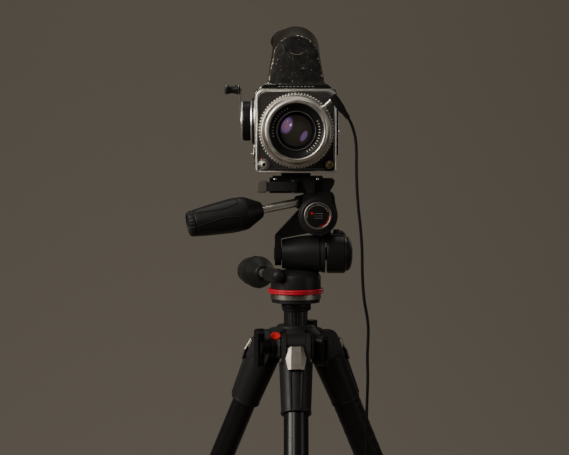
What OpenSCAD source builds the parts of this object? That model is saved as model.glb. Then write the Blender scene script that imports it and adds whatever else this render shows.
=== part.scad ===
// Medium-format film camera on a three-way head and a three-legged stand.
// Millimetres and degrees. +Z is up, the lens points along -Y and +X is to the right of a viewer facing it.

/* [Stance] */
// Height of the lens axis above the floor
lens_height = 1043; // [1000:1:1100]
// Height of the lens axis above the leg hinges
lens_above_hinges = 227; // [227:1:240]
// Angle of each leg from vertical
leg_angle = 25; // [20:1:28]
// How far each lower leg section is drawn out
leg_draw = 172; // [120:2:200]

/* [Tripod] */
// Distance of each leg hinge from the column axis
hinge_radius = 32; // [32:1:36]
// Radius of each rubber foot
foot_radius = 14; // [10:1:16]
// Radius of the upper leg tube
upper_tube_radius = 13; // [12.8:0.1:13]
// Radius of the middle leg tube
middle_tube_radius = 11.25; // [11:0.05:11.25]
// Radius of the lower leg tube
lower_tube_radius = 9.5; // [9:0.1:9.6]
// Wall of the leg tubes
tube_wall = 1.2; // [1:0.1:1.4]
// Radius of the centre column
column_radius = 12.9; // [12.5:0.1:12.9]
// Length of the centre column's tube
column_length = 330; // [300:5:360]

/* [Head] */
// Height of the tilt axis below the lens axis
tilt_drop = 132; // [131:1:134]
// Sideways place of the roll axis
roll_x = 23.3; // [22:0.1:24]
// Height of the roll axis below the lens axis
roll_drop = 90; // [90:1:92]
// Radius of the roll barrel
roll_radius = 21; // [20:0.1:21]
// Radius of the tilt lock knob
knob_radius = 21; // [19:0.5:21]
// Largest radius of the two handle grips
grip_radius = 18; // [15:0.5:18]

/* [Camera] */
// Width of the camera body
body_width = 84.8; // [84:0.2:86]
// Depth of the camera body with its front plate
body_depth = 66; // [64:1:68]
// Height of the body below the lens axis
body_below = 44.5; // [43:0.5:45]
// Height of the body above the lens axis
body_above = 44; // [43:0.5:45]
// Depth of the film magazine
magazine_depth = 50; // [46:1:54]
// Radius of the focus ring
focus_radius = 39; // [38:0.5:39.5]
// Radius of the lens's front barrel
barrel_radius = 35; // [34:0.5:36]
// Distance from the crank's axis to its handle
crank_throw = 33.4; // [30:0.2:36]

/* [Cord] */
// Diameter of the flash cord
cord_diameter = 3; // [2.5:0.1:3.5]
// Radius of the coil's middle turn
coil_radius = 20; // [18:1:24]
// Turns in each layer of the coil
coil_columns = 5; // [4:1:6]
// Layers of the coil
coil_layers = 6; // [4:2:8]

/* [Hidden] */
$fn = 64;

// Gaps: a running fit on a shaft, and the room between pieces that pass each other
running = 0.05;
clear = 0.3;
// Overlap that lets cutting shapes pass through a face
cut = 1;

hinge_height = lens_height - lens_above_hinges;
sole_cut = 0.6;
leg_length = (hinge_height - foot_radius + sole_cut) / cos(leg_angle);
foot_reach = hinge_radius + leg_length * sin(leg_angle);
column_y = foot_reach / 4;
spider_top = 17;
spider_bottom = -16;
front_spin = 0;
right_spin = 120;
left_spin = 240;

// Leg, measured down the leg from its hinge
cheek_inside = 10.2;
cheek_outside = 15.4;
cheek_radius = 13;
arm_half_width = 9.9;
pin_radius = 3;
sleeve_top = 20;
sleeve_end = 75;
sleeve_radius = 15.6;
upper_top = 32;
upper_end = 445;
upper_collar = 50;
middle_top = 60 + leg_draw;
middle_end = 490 + leg_draw;
middle_collar = 42;
lower_top = 100 + 2 * leg_draw;
lever_length = 34;
lever_half_width = 7;
lever_pin_radius = 1.6;

// Head, measured from the lens axis
disc_top = -180;
base_top = -174.5;
neck_bottom = -169;
neck_radius = 27;
spindle_radius = 12;
spindle_top = -155;
axle_radius = 7;
barrel_left = -15;
barrel_right = 31.6;
yoke_left = -22.5;
yoke_radius = 12.5;
roll_front = -24;
roll_split = -4;
roll_back = 14;
roll_shaft_radius = 6;
roll_wheel_y = 30;
roll_wheel_z = -117;
pan_handle_turn = 12.7;
pan_handle_drop = 2.5;
platform_top = -53;
platform_bottom = -66;
plate_top = -48.5;

// Camera, measured from the lens axis
half_width = body_width / 2;
plate_front = -body_depth / 2;
plate_back = plate_front + 4;
shell_back = body_depth / 2;
magazine_front = shell_back + 0.4;
deck_height = 49;
crank_y = 4;
crank_z = 10.5;
mirror_hinge = [0, 28, 28];
mirror_length = 50;
lug_radius = 1.6;
lug_y = 29.5;
lug_z = -3;
eyepiece_radius = 16;
eyepiece_length = 25;
button_radius = 4.6;
button_places = [[-33.5, -35.6], [34.9, -35.6]];

// Plug on the lens: its pin leaves the lens at pin_angle, and its body runs down at plug_angle
plug_y = -68;
pin_angle = 41;
plug_angle = -54;
plug_corner = [39.5, plug_y, 32.5];
plug_length = 24;

// Route of the cord from the plug to the coil, and from the coil to its end plug
cord_route = [
    [53.9, -68, 12.7], [57.6, -68.4, 5], [61, -69, -8], [62, -69.4, -22], [62, -69.6, -38],
    [62.6, -69.6, -58], [64, -69.6, -78], [66.4, -69.4, -100], [68, -69, -122], [68.6, -68.6, -150],
    [70.4, -68.2, -174], [73.6, -68, -193], [74.8, -68, -208], [74, -68, -234], [74.4, -68, -258],
    [73.4, -68, -294], [73.2, -68, -330], [74, -68, -380], [74.6, -68, -440], [74.2, -68, -510],
    [73.8, -68, -590], [74.2, -68, -670], [74.8, -68, -750], [75, -68, -830], [75.4, -68, -900],
    [76, -68, -960], [76.6, -67.6, -1000], [77.2, -64, -1021], [77.6, -56, -1035], [77.8, -45, -1041],
    [77.9, -37, -1041.5], [77.9, -30, -1041.5]
];
coil_centre = [105, -30];
coil_band = coil_columns * (cord_diameter + 0.05);
coil_height = coil_layers * (cord_diameter + 0.05);
end_route = [
    [132.1, -29, -1026.5], [132.2, -36, -1027], [132.4, -46, -1031.5], [132.5, -56, -1036.4], [132.6, -66, -1038.5]
];
end_plug_y = -66;
end_plug_radius = 4.5;

black = [0.05, 0.05, 0.055];
soft_black = [0.09, 0.09, 0.09];
rubber = [0.07, 0.07, 0.07];
chrome = [0.78, 0.77, 0.74];
steel = [0.62, 0.62, 0.6];
red = [0.75, 0.05, 0.08];
glass = [0.25, 0.2, 0.35];

// Frames
module on_column() translate([0, column_y, 0]) children();
module at_hinges() translate([0, column_y, hinge_height]) children();
module at_lens() translate([0, column_y, lens_height]) children();
module each_leg() for (spin = [front_spin, right_spin, left_spin]) rotate([0, 0, spin]) children();
module leg_frame(spin) at_hinges() rotate([0, 0, spin]) translate([0, -hinge_radius, 0]) rotate([-leg_angle, 0, 0])
    children();
module pan_handle_turned() translate([-18.5, -24, -153.9]) rotate([0, 0, pan_handle_turn]) rotate([-pan_handle_drop, 0, 0])
    children();
module pan_handle_frame() at_lens() pan_handle_turned() children();
module roll_handle_turned() translate([6.5, -13, -75.3]) rotate([0, 0, 12]) rotate([0, -10.7, 0]) children();
module roll_handle_frame() at_lens() roll_handle_turned() children();
module key_frame() at_lens() translate([-half_width, shell_back + 25, -26]) children();
module plug_frame() at_lens() translate(plug_corner) rotate([0, -plug_angle, 0]) children();

// Plain shapes: a block between two corners, rods along each axis, and turned shapes along X and towards the front
module block(low, high) translate(low) cube(high - low);
module rod_x(x0, x1, r, y = 0, z = 0) translate([x0, y, z]) rotate([0, 90, 0]) cylinder(h = x1 - x0, r = r);
module rod_y(y0, y1, r, x = 0, z = 0) translate([x, y0, z]) rotate([-90, 0, 0]) cylinder(h = y1 - y0, r = r);
module rod_z(z0, z1, r, x = 0, y = 0) translate([x, y, z0]) cylinder(h = z1 - z0, r = r);
module turned_x(points, y = 0, z = 0) translate([0, y, z]) rotate([0, 90, 0]) rotate_extrude() polygon(points);
module turned_front(points) rotate([90, 0, 0]) rotate_extrude() polygon(points);
module rounded_square(size, r) {
    square([size[0] - 2 * r, size[1]], center = true);
    square([size[0], size[1] - 2 * r], center = true);
    for (x = [-1, 1], y = [-1, 1]) translate([x * (size[0] / 2 - r), y * (size[1] / 2 - r)]) circle(r = r);
}

// Spider: the hub that carries the column and the three leg hinges
module spider() color(black) at_hinges() difference() {
    union() {
        rotate_extrude() polygon([
            [0, spider_bottom], [26, spider_bottom], [29, spider_bottom + 3], [29, 5], [27, 10], [20, spider_top],
            [0, spider_top]
        ]);
        each_leg() {
            block([-arm_half_width, -hinge_radius, -11], [arm_half_width, 0, 11]);
            rod_x(-arm_half_width, arm_half_width, 12, -hinge_radius);
        }
        rod_z(0, spider_top + 4, 6.5, 17, 13);
        rotate([0, 0, -30]) translate([28, 0, -8]) rotate([0, 90, 0]) linear_extrude(8) rounded_square([32, 16], 7.9);
        rotate([0, 0, 210]) rod_x(20, 33, 9, 0, -4);
    }
    rod_z(spider_bottom - cut, spider_top + cut, column_radius + running);
    each_leg() {
        for (side = [-1, 1]) translate([side * (cheek_inside + cheek_outside + 1) / 2, -hinge_radius - 4, 0])
            cube([cheek_outside - cheek_inside + 1.6, 38, 60], center = true);
        rod_x(-arm_half_width - cut, arm_half_width + cut, pin_radius, -hinge_radius);
    }
    rotate([0, 0, 210]) rod_x(10, 34, 4 + running, 0, -4);
    rotate([0, 0, -30]) translate([34, 0, -8]) rotate([0, 90, 0]) linear_extrude(3) rounded_square([26, 10], 4.9);
}

// Hinge pins: one through the top of each leg, pressed into the spider
module hinge_pins() color(steel) at_hinges() each_leg() {
    rod_x(-cheek_outside - clear, cheek_outside + clear, pin_radius, -hinge_radius);
    for (side = [-1, 1]) translate([side * (cheek_outside + clear + 0.8), -hinge_radius, 0]) rotate([0, 90, 0])
        cylinder(h = 1.6, r = 5, center = true);
}

// Column lock: a wing knob on a screw that presses on the column
module column_lock_knob() color(soft_black) at_hinges() rotate([0, 0, 210]) translate([0, 0, -4]) {
    rod_x(15, 36, 4);
    rod_x(34, 46, 8);
    translate([41, 0, 0]) rotate([0, 90, 0]) linear_extrude(8) {
        square([36, 9], center = true);
        for (end = [-1, 1]) translate([end * 16, 0]) circle(r = 4.8);
    }
}

// Centre column: the tube that slides in the spider
module centre_column() color(black) at_lens() difference() {
    rod_z(-191 - column_length, -191, column_radius);
    rod_z(-191 - column_length - cut, -191 + cut, column_radius - 1.8);
}

// Column plate: the collar, disc and screw that the head stands on
module column_plate() color(soft_black) at_lens() {
    rod_z(-191, -184, 14.5);
    rod_z(-184, disc_top, 26);
    rod_z(disc_top - 1, disc_top + 11, 4.7);
}

// Leg casting: two cheeks on the hinge pin and a sleeve that holds the upper tube
module leg_casting(spin) color(soft_black) leg_frame(spin) difference() {
    union() {
        for (side = [-1, 1]) {
            translate([side * (cheek_inside + cheek_outside) / 2, 0, 0]) rotate([0, 90, 0])
                cylinder(h = cheek_outside - cheek_inside, r = cheek_radius, center = true);
            translate([side * (cheek_inside + cheek_outside) / 2, 0, -12])
                cube([cheek_outside - cheek_inside, 2 * cheek_radius, 24], center = true);
        }
        translate([0, 0, -sleeve_end]) cylinder(h = sleeve_end - sleeve_top, r1 = sleeve_radius, r2 = sleeve_radius + 2.2);
    }
    rod_z(-sleeve_end - cut, -upper_top, upper_tube_radius);
    rod_x(-20, 20, pin_radius + running);
    rod_y(-20, -4, 2 + running, 0, -26);
}

// Clamp collar: a ring on a tube's lower end with two ears for the lever's pin
module clamp_collar(end, height, radius) {
    pivot = [0, -radius - 5, 10 - end];
    rod_z(-end, height - end, radius);
    for (side = [-1, 1]) translate([side * 9.4, 0, 0]) difference() {
        union() {
            translate([-2, pivot[1], pivot[2] - 5]) cube([4, 10, 10]);
            translate(pivot) rotate([0, 90, 0]) cylinder(h = 4, r = 5, center = true);
        }
        translate(pivot) rotate([0, 90, 0]) cylinder(h = 6, r = lever_pin_radius + running, center = true);
    }
}

// Clamp lever: closed against the tube, it turns outwards on its pin
module clamp_lever(spin, end, radius) color(soft_black) leg_frame(spin) translate([0, -radius - 5, 10 - end]) {
    rod_x(-lever_half_width, lever_half_width, 4);
    rod_x(-11.2, 11.2, lever_pin_radius);
    block([-lever_half_width, -3.5, 0], [lever_half_width, 2, lever_length]);
}

// Upper tube: fixed in the leg casting, with the upper clamp collar; the right one has a rubber wrap
module upper_tube(spin, wrap = false) color(black) leg_frame(spin) difference() {
    union() {
        rod_z(-upper_end, -upper_top, upper_tube_radius);
        clamp_collar(upper_end, upper_collar, upper_tube_radius + 4);
        if (wrap) rod_z(-300, -sleeve_end - 1, upper_tube_radius + 2);
    }
    rod_z(12 - upper_end, cut - upper_top, upper_tube_radius - tube_wall);
    rod_z(-upper_end - cut, 13 - upper_end, middle_tube_radius + 0.08);
}

// Middle tube: slides in the upper tube and carries the lower clamp collar
module middle_tube(spin) color(black) leg_frame(spin) difference() {
    union() {
        rod_z(-middle_end, -middle_top, middle_tube_radius);
        clamp_collar(middle_end, middle_collar, middle_tube_radius + 3.4);
    }
    rod_z(12 - middle_end, cut - middle_top, middle_tube_radius - tube_wall);
    rod_z(-middle_end - cut, 13 - middle_end, lower_tube_radius + 0.08);
}

// Lower tube: slides in the middle tube and stands on a rubber foot with a small flat sole
module lower_tube(spin) color(black) difference() {
    leg_frame(spin) {
        rod_z(-leg_length + 10, -lower_top, lower_tube_radius);
        rod_z(-leg_length, -leg_length + 34, foot_radius - 1.4);
        translate([0, 0, -leg_length]) sphere(r = foot_radius);
    }
    leg_frame(spin) rod_z(-leg_length + 30, -lower_top + cut, lower_tube_radius - tube_wall);
    block([-500, -500, -20], [500, 500, 0]);
}

// Angle selector: a pressed metal catch on the outside of the hinge, on a guide pin in the sleeve
module angle_selector(spin) color(chrome) leg_frame(spin) {
    translate([0, -17.9, 0]) rotate([90, 0, 0]) linear_extrude(3) polygon([
        [-7.2, -8], [7.2, -8], [11, -20.5], [8.6, -33], [-8.6, -33], [-11, -20.5]
    ]);
    block([-8.6, -18.4, -18], [8.6, -13.4, -8.6]);
    rod_y(-18.4, -6, 2, 0, -26);
}

// Head base: the notched ring screwed to the column plate, with the spindle that the head turns on
module head_base() color(chrome) at_lens() difference() {
    union() {
        rod_z(disc_top, base_top, 27.2);
        rod_z(disc_top, spindle_top, spindle_radius);
    }
    rod_z(disc_top - cut, disc_top + 12, 4.8);
    for (turn = [0:30:330]) rotate([0, 0, turn + 15]) block([26, -1, base_top - 1.2], [28, 1, base_top + cut]);
}

// Red ring: two lips round the foot of the pan body
module red_ring() color(red) at_lens() rotate_extrude() polygon([
    [24, base_top + clear], [29.4, base_top + clear], [30, -173.6], [30, -172.2], [29.2, -171.8], [30, -171.4],
    [30, -169.8], [29.2, neck_bottom], [24, neck_bottom]
]);

// Pan body: neck, tilt barrel and the socket of the pan handle
module pan_body() color(soft_black) {
    at_lens() difference() {
        union() {
            rotate_extrude() polygon([
                [0, base_top + clear], [24, base_top + clear], [24, neck_bottom], [neck_radius, neck_bottom],
                [neck_radius, -156.5], [neck_radius - 1.5, -153.5], [21, -150.5], [0, -147]
            ]);
            turned_x([
                [0, barrel_left], [15.4, barrel_left], [17.2, -6], [18.8, 3], [19.8, 12], [20.3, 25], [19.5, 25.8],
                [19.5, 27.6], [20.4, 28.4], [20.5, barrel_right], [0, barrel_right]
            ], 0, -tilt_drop);
            pan_handle_turned() {
                rod_y(0, 48, 7.4);
                sphere(r = 7.6);
            }
        }
        rod_z(-176, spindle_top + 1, spindle_radius + running);
        rod_x(barrel_left - cut, barrel_right + cut, axle_radius + running, 0, -tilt_drop);
        pan_handle_turned() rod_y(40, 50, 4 + running);
    }
}

// Handle grip: a fat waist near the rod, tapering to the end
module grip_shape(start) rotate([-90, 0, 0]) rotate_extrude() difference() {
    polygon([
        [0, start], [7, start], [8, start + 1], [11, start + 5], [grip_radius - 0.6, start + 19],
        [grip_radius, start + 23], [grip_radius - 0.4, start + 32], [grip_radius - 2.6, start + 60],
        [grip_radius - 4.4, start + 78], [grip_radius - 5.6, start + 81], [0, start + 81]
    ]);
    translate([0, start - cut]) square([4.5, 31]);
}

// Pan handle: its rod screws through the socket and clamps the pan axis when the handle is twisted
module pan_lever() color(steel) pan_handle_frame() {
    rod_y(41, 55, 4);
    rod_y(48.3, 55, 7);
    rod_y(54, 108, 4.5);
}
module pan_grip() color(rubber) pan_handle_frame() grip_shape(80);

// Tilt yoke: the arm, axle and roll housing that swing about the tilt axis
module tilt_yoke() color(soft_black) at_lens() difference() {
    union() {
        rod_x(yoke_left, barrel_left - 0.5, yoke_radius, 0, -tilt_drop);
        block([yoke_left, -yoke_radius, -tilt_drop], [barrel_left - 0.5, yoke_radius, -112]);
        rod_x(yoke_left + 1, 46, axle_radius, 0, -tilt_drop);
        translate([0, roll_back, 0]) rotate([90, 0, 0]) linear_extrude(roll_back - roll_split) polygon([
            [yoke_left, -124], [yoke_left, -112], [2.6, -85], [roll_x, -85], [roll_x, -108], [15, -109.4],
            [6.3, -111.2], [barrel_left - 0.5, -115.4], [barrel_left - 0.5, -124]
        ]);
        rod_y(roll_split, roll_back, roll_radius - 0.5, roll_x, -roll_drop);
        block([28, 12, -113], [38, roll_wheel_y, -105]);
        rod_x(28, 40.6, 5.5, roll_wheel_y, roll_wheel_z);
        rod_x(40, 51, 2.5, roll_wheel_y, roll_wheel_z);
    }
    rod_y(roll_split - cut, roll_back + cut, roll_shaft_radius + running, roll_x, -roll_drop);
}

// Tilt lock knob on the end of the tilt axle
module tilt_knob() color(soft_black) at_lens() difference() {
    turned_x([
        [0, 33.2], [knob_radius - 0.6, 33.2], [knob_radius, 34], [knob_radius, 52], [knob_radius - 1, 53],
        [18.4, 53.4], [17, 57], [12.6, 59.8], [6, 61], [0, 61]
    ], 0, -tilt_drop);
    rod_x(31, 46.3, axle_radius + running, 0, -tilt_drop);
}

// Roll friction wheel behind the roll barrel
module roll_wheel() color(soft_black) at_lens() difference() {
    turned_x([[0, 41], [8.4, 41], [9, 41.6], [9, 47], [8, 51], [6, 54], [3, 55.4], [0, 55.6]], roll_wheel_y,
        roll_wheel_z);
    rod_x(40, 51.4, 2.5 + running, roll_wheel_y, roll_wheel_z);
}

// Plate receiver: platform with its rails, the roll barrel, its shaft and the roll handle's socket
module plate_receiver() color(soft_black) {
    at_lens() difference() {
        union() {
            block([-28, -22, platform_bottom], [36, 20, platform_top]);
            block([-28, -22, platform_top - 1], [-25.2, 20, -50.6]);
            translate([0, 20, 0]) rotate([90, 0, 0]) linear_extrude(42) polygon([
                [28.8, -60], [28.8, -51], [39.5, -51], [41, -52.5], [40.4, -57], [35, -66], [28.8, -66]
            ]);
            block([8, roll_front, -84], [38, roll_split - clear, platform_bottom + 1]);
            rod_y(roll_front, roll_split - clear, roll_radius, roll_x, -roll_drop);
            rod_y(roll_split - 2, roll_back + 4, roll_shaft_radius, roll_x, -roll_drop);
            rod_y(roll_back + clear, roll_back + 4, 10, roll_x, -roll_drop);
            for (z = [[platform_bottom, -64.3], [-53.7, -52]]) {
                rod_z(z[0], z[1], 4.6, -1, -26.5);
                block([-5.6, -26.5, z[0]], [3.6, -21, z[1]]);
            }
            translate([0, -21.5, 0]) rotate([90, 0, 0]) linear_extrude(5) polygon([
                [4.6, -52], [20, -52], [20, -66], [12, -66]
            ]);
            roll_handle_turned() rod_x(clear, 7, 7.4);
        }
        rod_z(-70, -50, lever_pin_radius + running, -1, -26.5);
        roll_handle_turned() {
            rod_x(-cut, 8, 4 + running);
            rod_x(-8, clear, 7 + clear);
        }
    }
}

// Roll cap: the disc on the front of the roll barrel
module roll_cap() color(chrome) at_lens() rod_y(roll_front - 3, roll_front, 14.9, roll_x, -roll_drop);

// Roll handle: twisted, it clamps the roll axis
module roll_lever() color(chrome) roll_handle_frame() {
    rod_x(-7, 0, 7);
    rod_x(-1, 7, 4);
    rod_x(-72, -6, 4.5);
}
module roll_grip() color(rubber) roll_handle_frame() rotate([0, 0, 90]) grip_shape(44);

// Receiver lever: swings out to free the plate
module receiver_lever() color(soft_black) at_lens() translate([-1, -26.5, 0]) {
    rod_z(-64, -54, 3.5);
    rod_z(-65.8, -52.2, lever_pin_radius);
    block([-32, -3.5, -64], [0, 3.5, -54]);
    block([-39, -4, -64.6], [-31, 4, -53]);
}

// Quick plate: screwed under the camera, it drops into the receiver
module quick_plate() color(soft_black) at_lens() {
    block([-25, -21.5, platform_top], [28.6, 19.5, plate_top]);
    rod_z(plate_top - 1, plate_top + 3.6, 3.1);
}

// Body shell: mirror box, finder deck, camera foot, crank boss and accessory rail
module body_shell() color(chrome) at_lens() difference() {
    union() {
        translate([0, shell_back, (body_above - body_below) / 2]) rotate([90, 0, 0])
            linear_extrude(shell_back - plate_back) rounded_square([body_width, body_above + body_below], 3.5);
        translate([0, shell_back, 0]) rotate([90, 0, 0]) linear_extrude(shell_back - plate_front) polygon([
            [-39, body_above - 0.5], [39, body_above - 0.5], [39, body_above], [33, deck_height],
            [-33, deck_height], [-39, body_above]
        ]);
        block([-15.5, -24, plate_top], [15.5, 24, 1 - body_below]);
        rod_x(-half_width - 4.3, 1 - half_width, 24.5, crank_y, crank_z);
        rod_x(-half_width - 5.7, 1 - half_width, 16, crank_y, crank_z);
        block([half_width - 1, -14, -25.6], [half_width + 2.6, 22, 27]);
    }
    block([-36, plate_front - cut, -38], [36, shell_back + cut, 38]);
    block([-28, -24, 37], [28, 26, deck_height + cut]);
    rod_z(plate_top - cut, -37, 3.15);
    rod_x(-half_width - 7, -35, 5 + running, crank_y, crank_z);
    for (place = button_places) rod_y(plate_back - cut, plate_back + 6, button_radius + running, place[0], place[1]);
    rod_x(-38.2, 38.2, 1.5 + running, mirror_hinge[1], mirror_hinge[2]);
    rod_x(-half_width - cut, half_width + cut, lug_radius, lug_y, lug_z);
}

// Front plate: the face that holds the lens and both buttons
module front_plate() color(chrome) at_lens() difference() {
    translate([0, plate_back, (body_above - 0.6 - body_below) / 2]) rotate([90, 0, 0])
        linear_extrude(plate_back - plate_front) rounded_square([body_width, body_above - 0.6 + body_below], 3.5);
    rod_y(plate_front - cut, plate_back + cut, 31);
    for (place = button_places)
        rod_y(plate_front - cut, plate_back + cut, button_radius + running, place[0], place[1]);
}

// Prism housing: a leaning arched face, a larger arched rim behind it and the eyepiece tube
module arch_slice(y, half_base, base_z, half_top, centre_z, thickness = 0.4) translate([0, y + thickness, 0])
    rotate([90, 0, 0]) linear_extrude(thickness, $fn = 32) {
        polygon([[-half_base, base_z], [half_base, base_z], [half_top, centre_z], [-half_top, centre_z]]);
        translate([0, centre_z]) circle(r = half_top);
    }
module prism_housing() color(black) at_lens() difference() {
    union() {
        hull() {
            block([-31, plate_front + 3, deck_height + 0.3], [31, plate_front + 4, deck_height + 2]);
            arch_slice(-8, 28, deck_height + 0.3, 24, 76.7);
            arch_slice(6, 30, deck_height + 0.3, 24.6, 85);
            block([-31, 24, deck_height + 0.3], [31, 25, deck_height + 6]);
        }
        translate([0, 14, 72]) rotate([-45, 0, 0]) rod_z(0, eyepiece_length, eyepiece_radius);
    }
    block([-22, -20, deck_height - cut], [22, 20, deck_height + 14]);
}

// Eyecup: rubber cup on the eyepiece, with a side wing
module eyecup() color(rubber) at_lens() translate([0, 14, 72]) rotate([-45, 0, 0]) {
    difference() {
        union() {
            rod_z(eyepiece_length - 6, eyepiece_length + 10, eyepiece_radius + 1.5);
            translate([-10, -2, eyepiece_length + 1]) rotate([0, -24, 0]) cylinder(h = 13, r1 = 14, r2 = 13);
        }
        rod_z(eyepiece_length - 12, eyepiece_length + 0.1, eyepiece_radius + 0.1);
        rod_z(eyepiece_length + 7, eyepiece_length + 30, 13.5);
    }
}

// Lens barrel: mount, inner tube, front barrel, name ring and the flash socket
module lens_barrel() color(chrome) at_lens() difference() {
    union() {
        turned_front([
            [21, 26], [30.9, 26], [30.9, 33.2], [34, 33.2], [34, 36], [32, 36], [32, 60.6], [barrel_radius, 60.6],
            [barrel_radius, 76], [33.2, 79], [33.2, 80.5], [28.8, 84.6], [28, 84.6], [28, 79.4], [27.4, 78], [20.4, 75.4],
            [20.2, 77], [19.4, 77], [19, 70], [21, 66]
        ]);
        translate([0, plug_y, 0]) rotate([0, -pin_angle, 0]) rod_x(34, 37.4, 2.6);
    }
    translate([0, plug_y, 0]) rotate([0, -pin_angle, 0]) rod_x(35.6, 38.4, 1.42);
}

// Front glass: the first lens element
module front_glass() color(glass) at_lens() turned_front([
    [0, 66.6], [18.6, 66.6], [18.6, 70], [17, 71.8], [12, 73.6], [6, 74.7], [0, 75]
]);

// Focus ring and shutter ring: both turn round the barrel
module focus_ring() color(chrome) at_lens() difference() {
    turned_front([[32.06, 46.4], [38, 46.4], [focus_radius, 47.4], [focus_radius, 59], [37, 60.2], [32.06, 60.2]]);
    for (tooth = [0:72]) rotate([0, tooth * 5, 0]) rod_y(-61, -46, 0.9, focus_radius + 0.5);
}
module shutter_ring() color(chrome) at_lens() turned_front([
    [32.06, 36.4], [35.6, 36.4], [37, 37.4], [37, 44.8], [36, 46], [32.06, 46]
]);

// Winding crank: wheel, shaft, arm and handle pin
module winding_crank() color(black) at_lens() translate([0, crank_y, crank_z]) {
    rod_x(-half_width - 6, -38, 5);
    rod_x(-56.1, -half_width - 6, 21);
    rod_x(-58.4, -56, 16);
    translate([-59.6, -4, 0]) cube([1.4, 8, crank_throw]);
    rod_x(-59.6, -58.2, 4, 0, crank_throw);
    rod_x(-59.6, -58.2, 8);
    rod_x(-75, -59, 1.5, 0, crank_throw);
}
module crank_handle() color(black) at_lens() difference() {
    turned_x([
        [0, -76], [4.4, -76], [5, -75.4], [5, -73], [4, -68], [5, -62.6], [5, -60.4], [4.4, -59.9], [0, -59.9]
    ], crank_y, crank_z + crank_throw);
    rod_x(-75.1, -59, 1.5 + running, crank_y, crank_z + crank_throw);
}

// Buttons on the front plate: shutter release with its cable socket, and lens release
module release_button() color(chrome) at_lens() difference() {
    rod_y(plate_front - 4, plate_back + 1, button_radius, button_places[0][0], button_places[0][1]);
    rod_y(plate_front - 5, plate_front - 0.5, 1.5, button_places[0][0], button_places[0][1]);
}
module lens_release() color(steel) at_lens()
    rod_y(plate_front - 3, plate_back + 1, button_radius, button_places[1][0], button_places[1][1]);

// Film magazine: box with rounded rear edges, film gate and winding boss
module film_magazine() color(soft_black) at_lens() difference() {
    translate([-42, 0, 0]) rotate([90, 0, 90]) linear_extrude(84) {
        translate([magazine_front, -43.5]) square([magazine_depth - 14, 87]);
        translate([magazine_front, -31.5]) square([magazine_depth - 2, 63]);
        for (side = [-1, 1]) translate([magazine_front + magazine_depth - 14, side * 31.5]) circle(r = 12);
    }
    block([-28, magazine_front - cut, -28], [28, magazine_front + 8, 28]);
    block([-36, magazine_front + 14, -36], [36, magazine_front + 40, 36]);
    rod_x(-43, -35, 2 + running, shell_back + 25, -26);
}
module magazine_key() color(chrome) key_frame() {
    rod_x(0.8, 6, 2);
    rod_x(-3.8, 0.2, 12);
    rod_x(-2, 1, 2);
    block([-6.4, -10, -1.4], [-3.6, 10, 1.4]);
}

// Strap lugs: one stud on each side of the body
module strap_lugs() color(chrome) at_lens() for (side = [-1, 1]) translate([side * half_width, lug_y, lug_z])
    rotate([0, 90, 0]) {
    translate([0, 0, -side * 2]) cylinder(h = 12, r = lug_radius, center = true);
    translate([0, 0, side * 4.6]) cylinder(h = 1.6, r = 3.4, center = true);
}

// Reflex mirror: swings up about its rear rod
module reflex_mirror() color(glass) at_lens() translate(mirror_hinge) {
    rod_x(-38, 38, 1.5);
    rotate([45, 0, 0]) block([-29, -mirror_length, -1], [29, 0, 1]);
}

// Plug on the lens: pin, body and ribbed strain relief
module sync_plug() color(soft_black) {
    at_lens() translate([0, plug_y, 0]) rotate([0, -pin_angle, 0]) rod_x(36, 50, 1.35);
    plug_frame() {
        block([-4, -3.6, -4.2], [15, 3.6, 4.2]);
        rod_x(15, plug_length, 2.7);
        for (rib = [0:3]) rod_x(16 + 2 * rib, 17 + 2 * rib, 3.4);
    }
}

// Cord: a smooth curve through the route's points, swept with eight sides
function catmull(p0, p1, p2, p3, t) = 0.5 * (2 * p1 + (p2 - p0) * t + (2 * p0 - 5 * p1 + 4 * p2 - p3) * t * t
    + (3 * p1 - p0 - 3 * p2 + p3) * t * t * t);
function smooth_path(points, steps) = let (last = len(points) - 1) [
    for (i = [0:last - 1], s = [0:steps - 1])
        catmull(points[max(i - 1, 0)], points[i], points[i + 1], points[min(i + 2, last)], s / steps),
    points[last]
];
function unit(v) = v / norm(v);
function ring_at(path, i, r, sides) = let (
    along = unit(path[min(i + 1, len(path) - 1)] - path[max(i - 1, 0)]),
    across = unit(cross(along, [1, 0, 0])),
    up = cross(across, along)
) [for (k = [0:sides - 1]) path[i] + r * (cos(360 * k / sides) * across + sin(360 * k / sides) * up)];
module swept_tube(path, r, sides = 8) {
    count = len(path);
    rings = [for (i = [0:count - 1]) each ring_at(path, i, r, sides)];
    walls = [for (i = [0:count - 2], k = [0:sides - 1]) let (a = i * sides + k, b = i * sides + (k + 1) % sides)
        each [[a, b, b + sides], [a, b + sides, a + sides]]];
    first_cap = [for (k = [sides - 1:-1:0]) k];
    last_cap = [for (k = [0:sides - 1]) (count - 1) * sides + k];
    polyhedron(points = rings, faces = concat(walls, [first_cap, last_cap]));
}
module sync_cord() color(black) at_lens() {
    swept_tube(smooth_path(cord_route, 2), cord_diameter / 2);
    swept_tube(smooth_path(end_route, 2), cord_diameter / 2);
}

// Coil of the spare cord on the floor
module sync_coil() color(black) on_column() translate([coil_centre[0], coil_centre[1], 0]) rotate_extrude()
    translate([coil_radius - coil_band / 2, 0]) square([coil_band, coil_height]);

// Plug on the cord's far end, lying on the floor
module cord_end_plug() color(soft_black) on_column() translate([132.6, end_plug_y, end_plug_radius])
    rotate([90, 0, 0]) {
        rod_z(0, 6, 3.2);
        rod_z(6, 30, end_plug_radius);
        rod_z(30, 58, 3.15);
        rod_z(58, 62, 2.2);
    }

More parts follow.
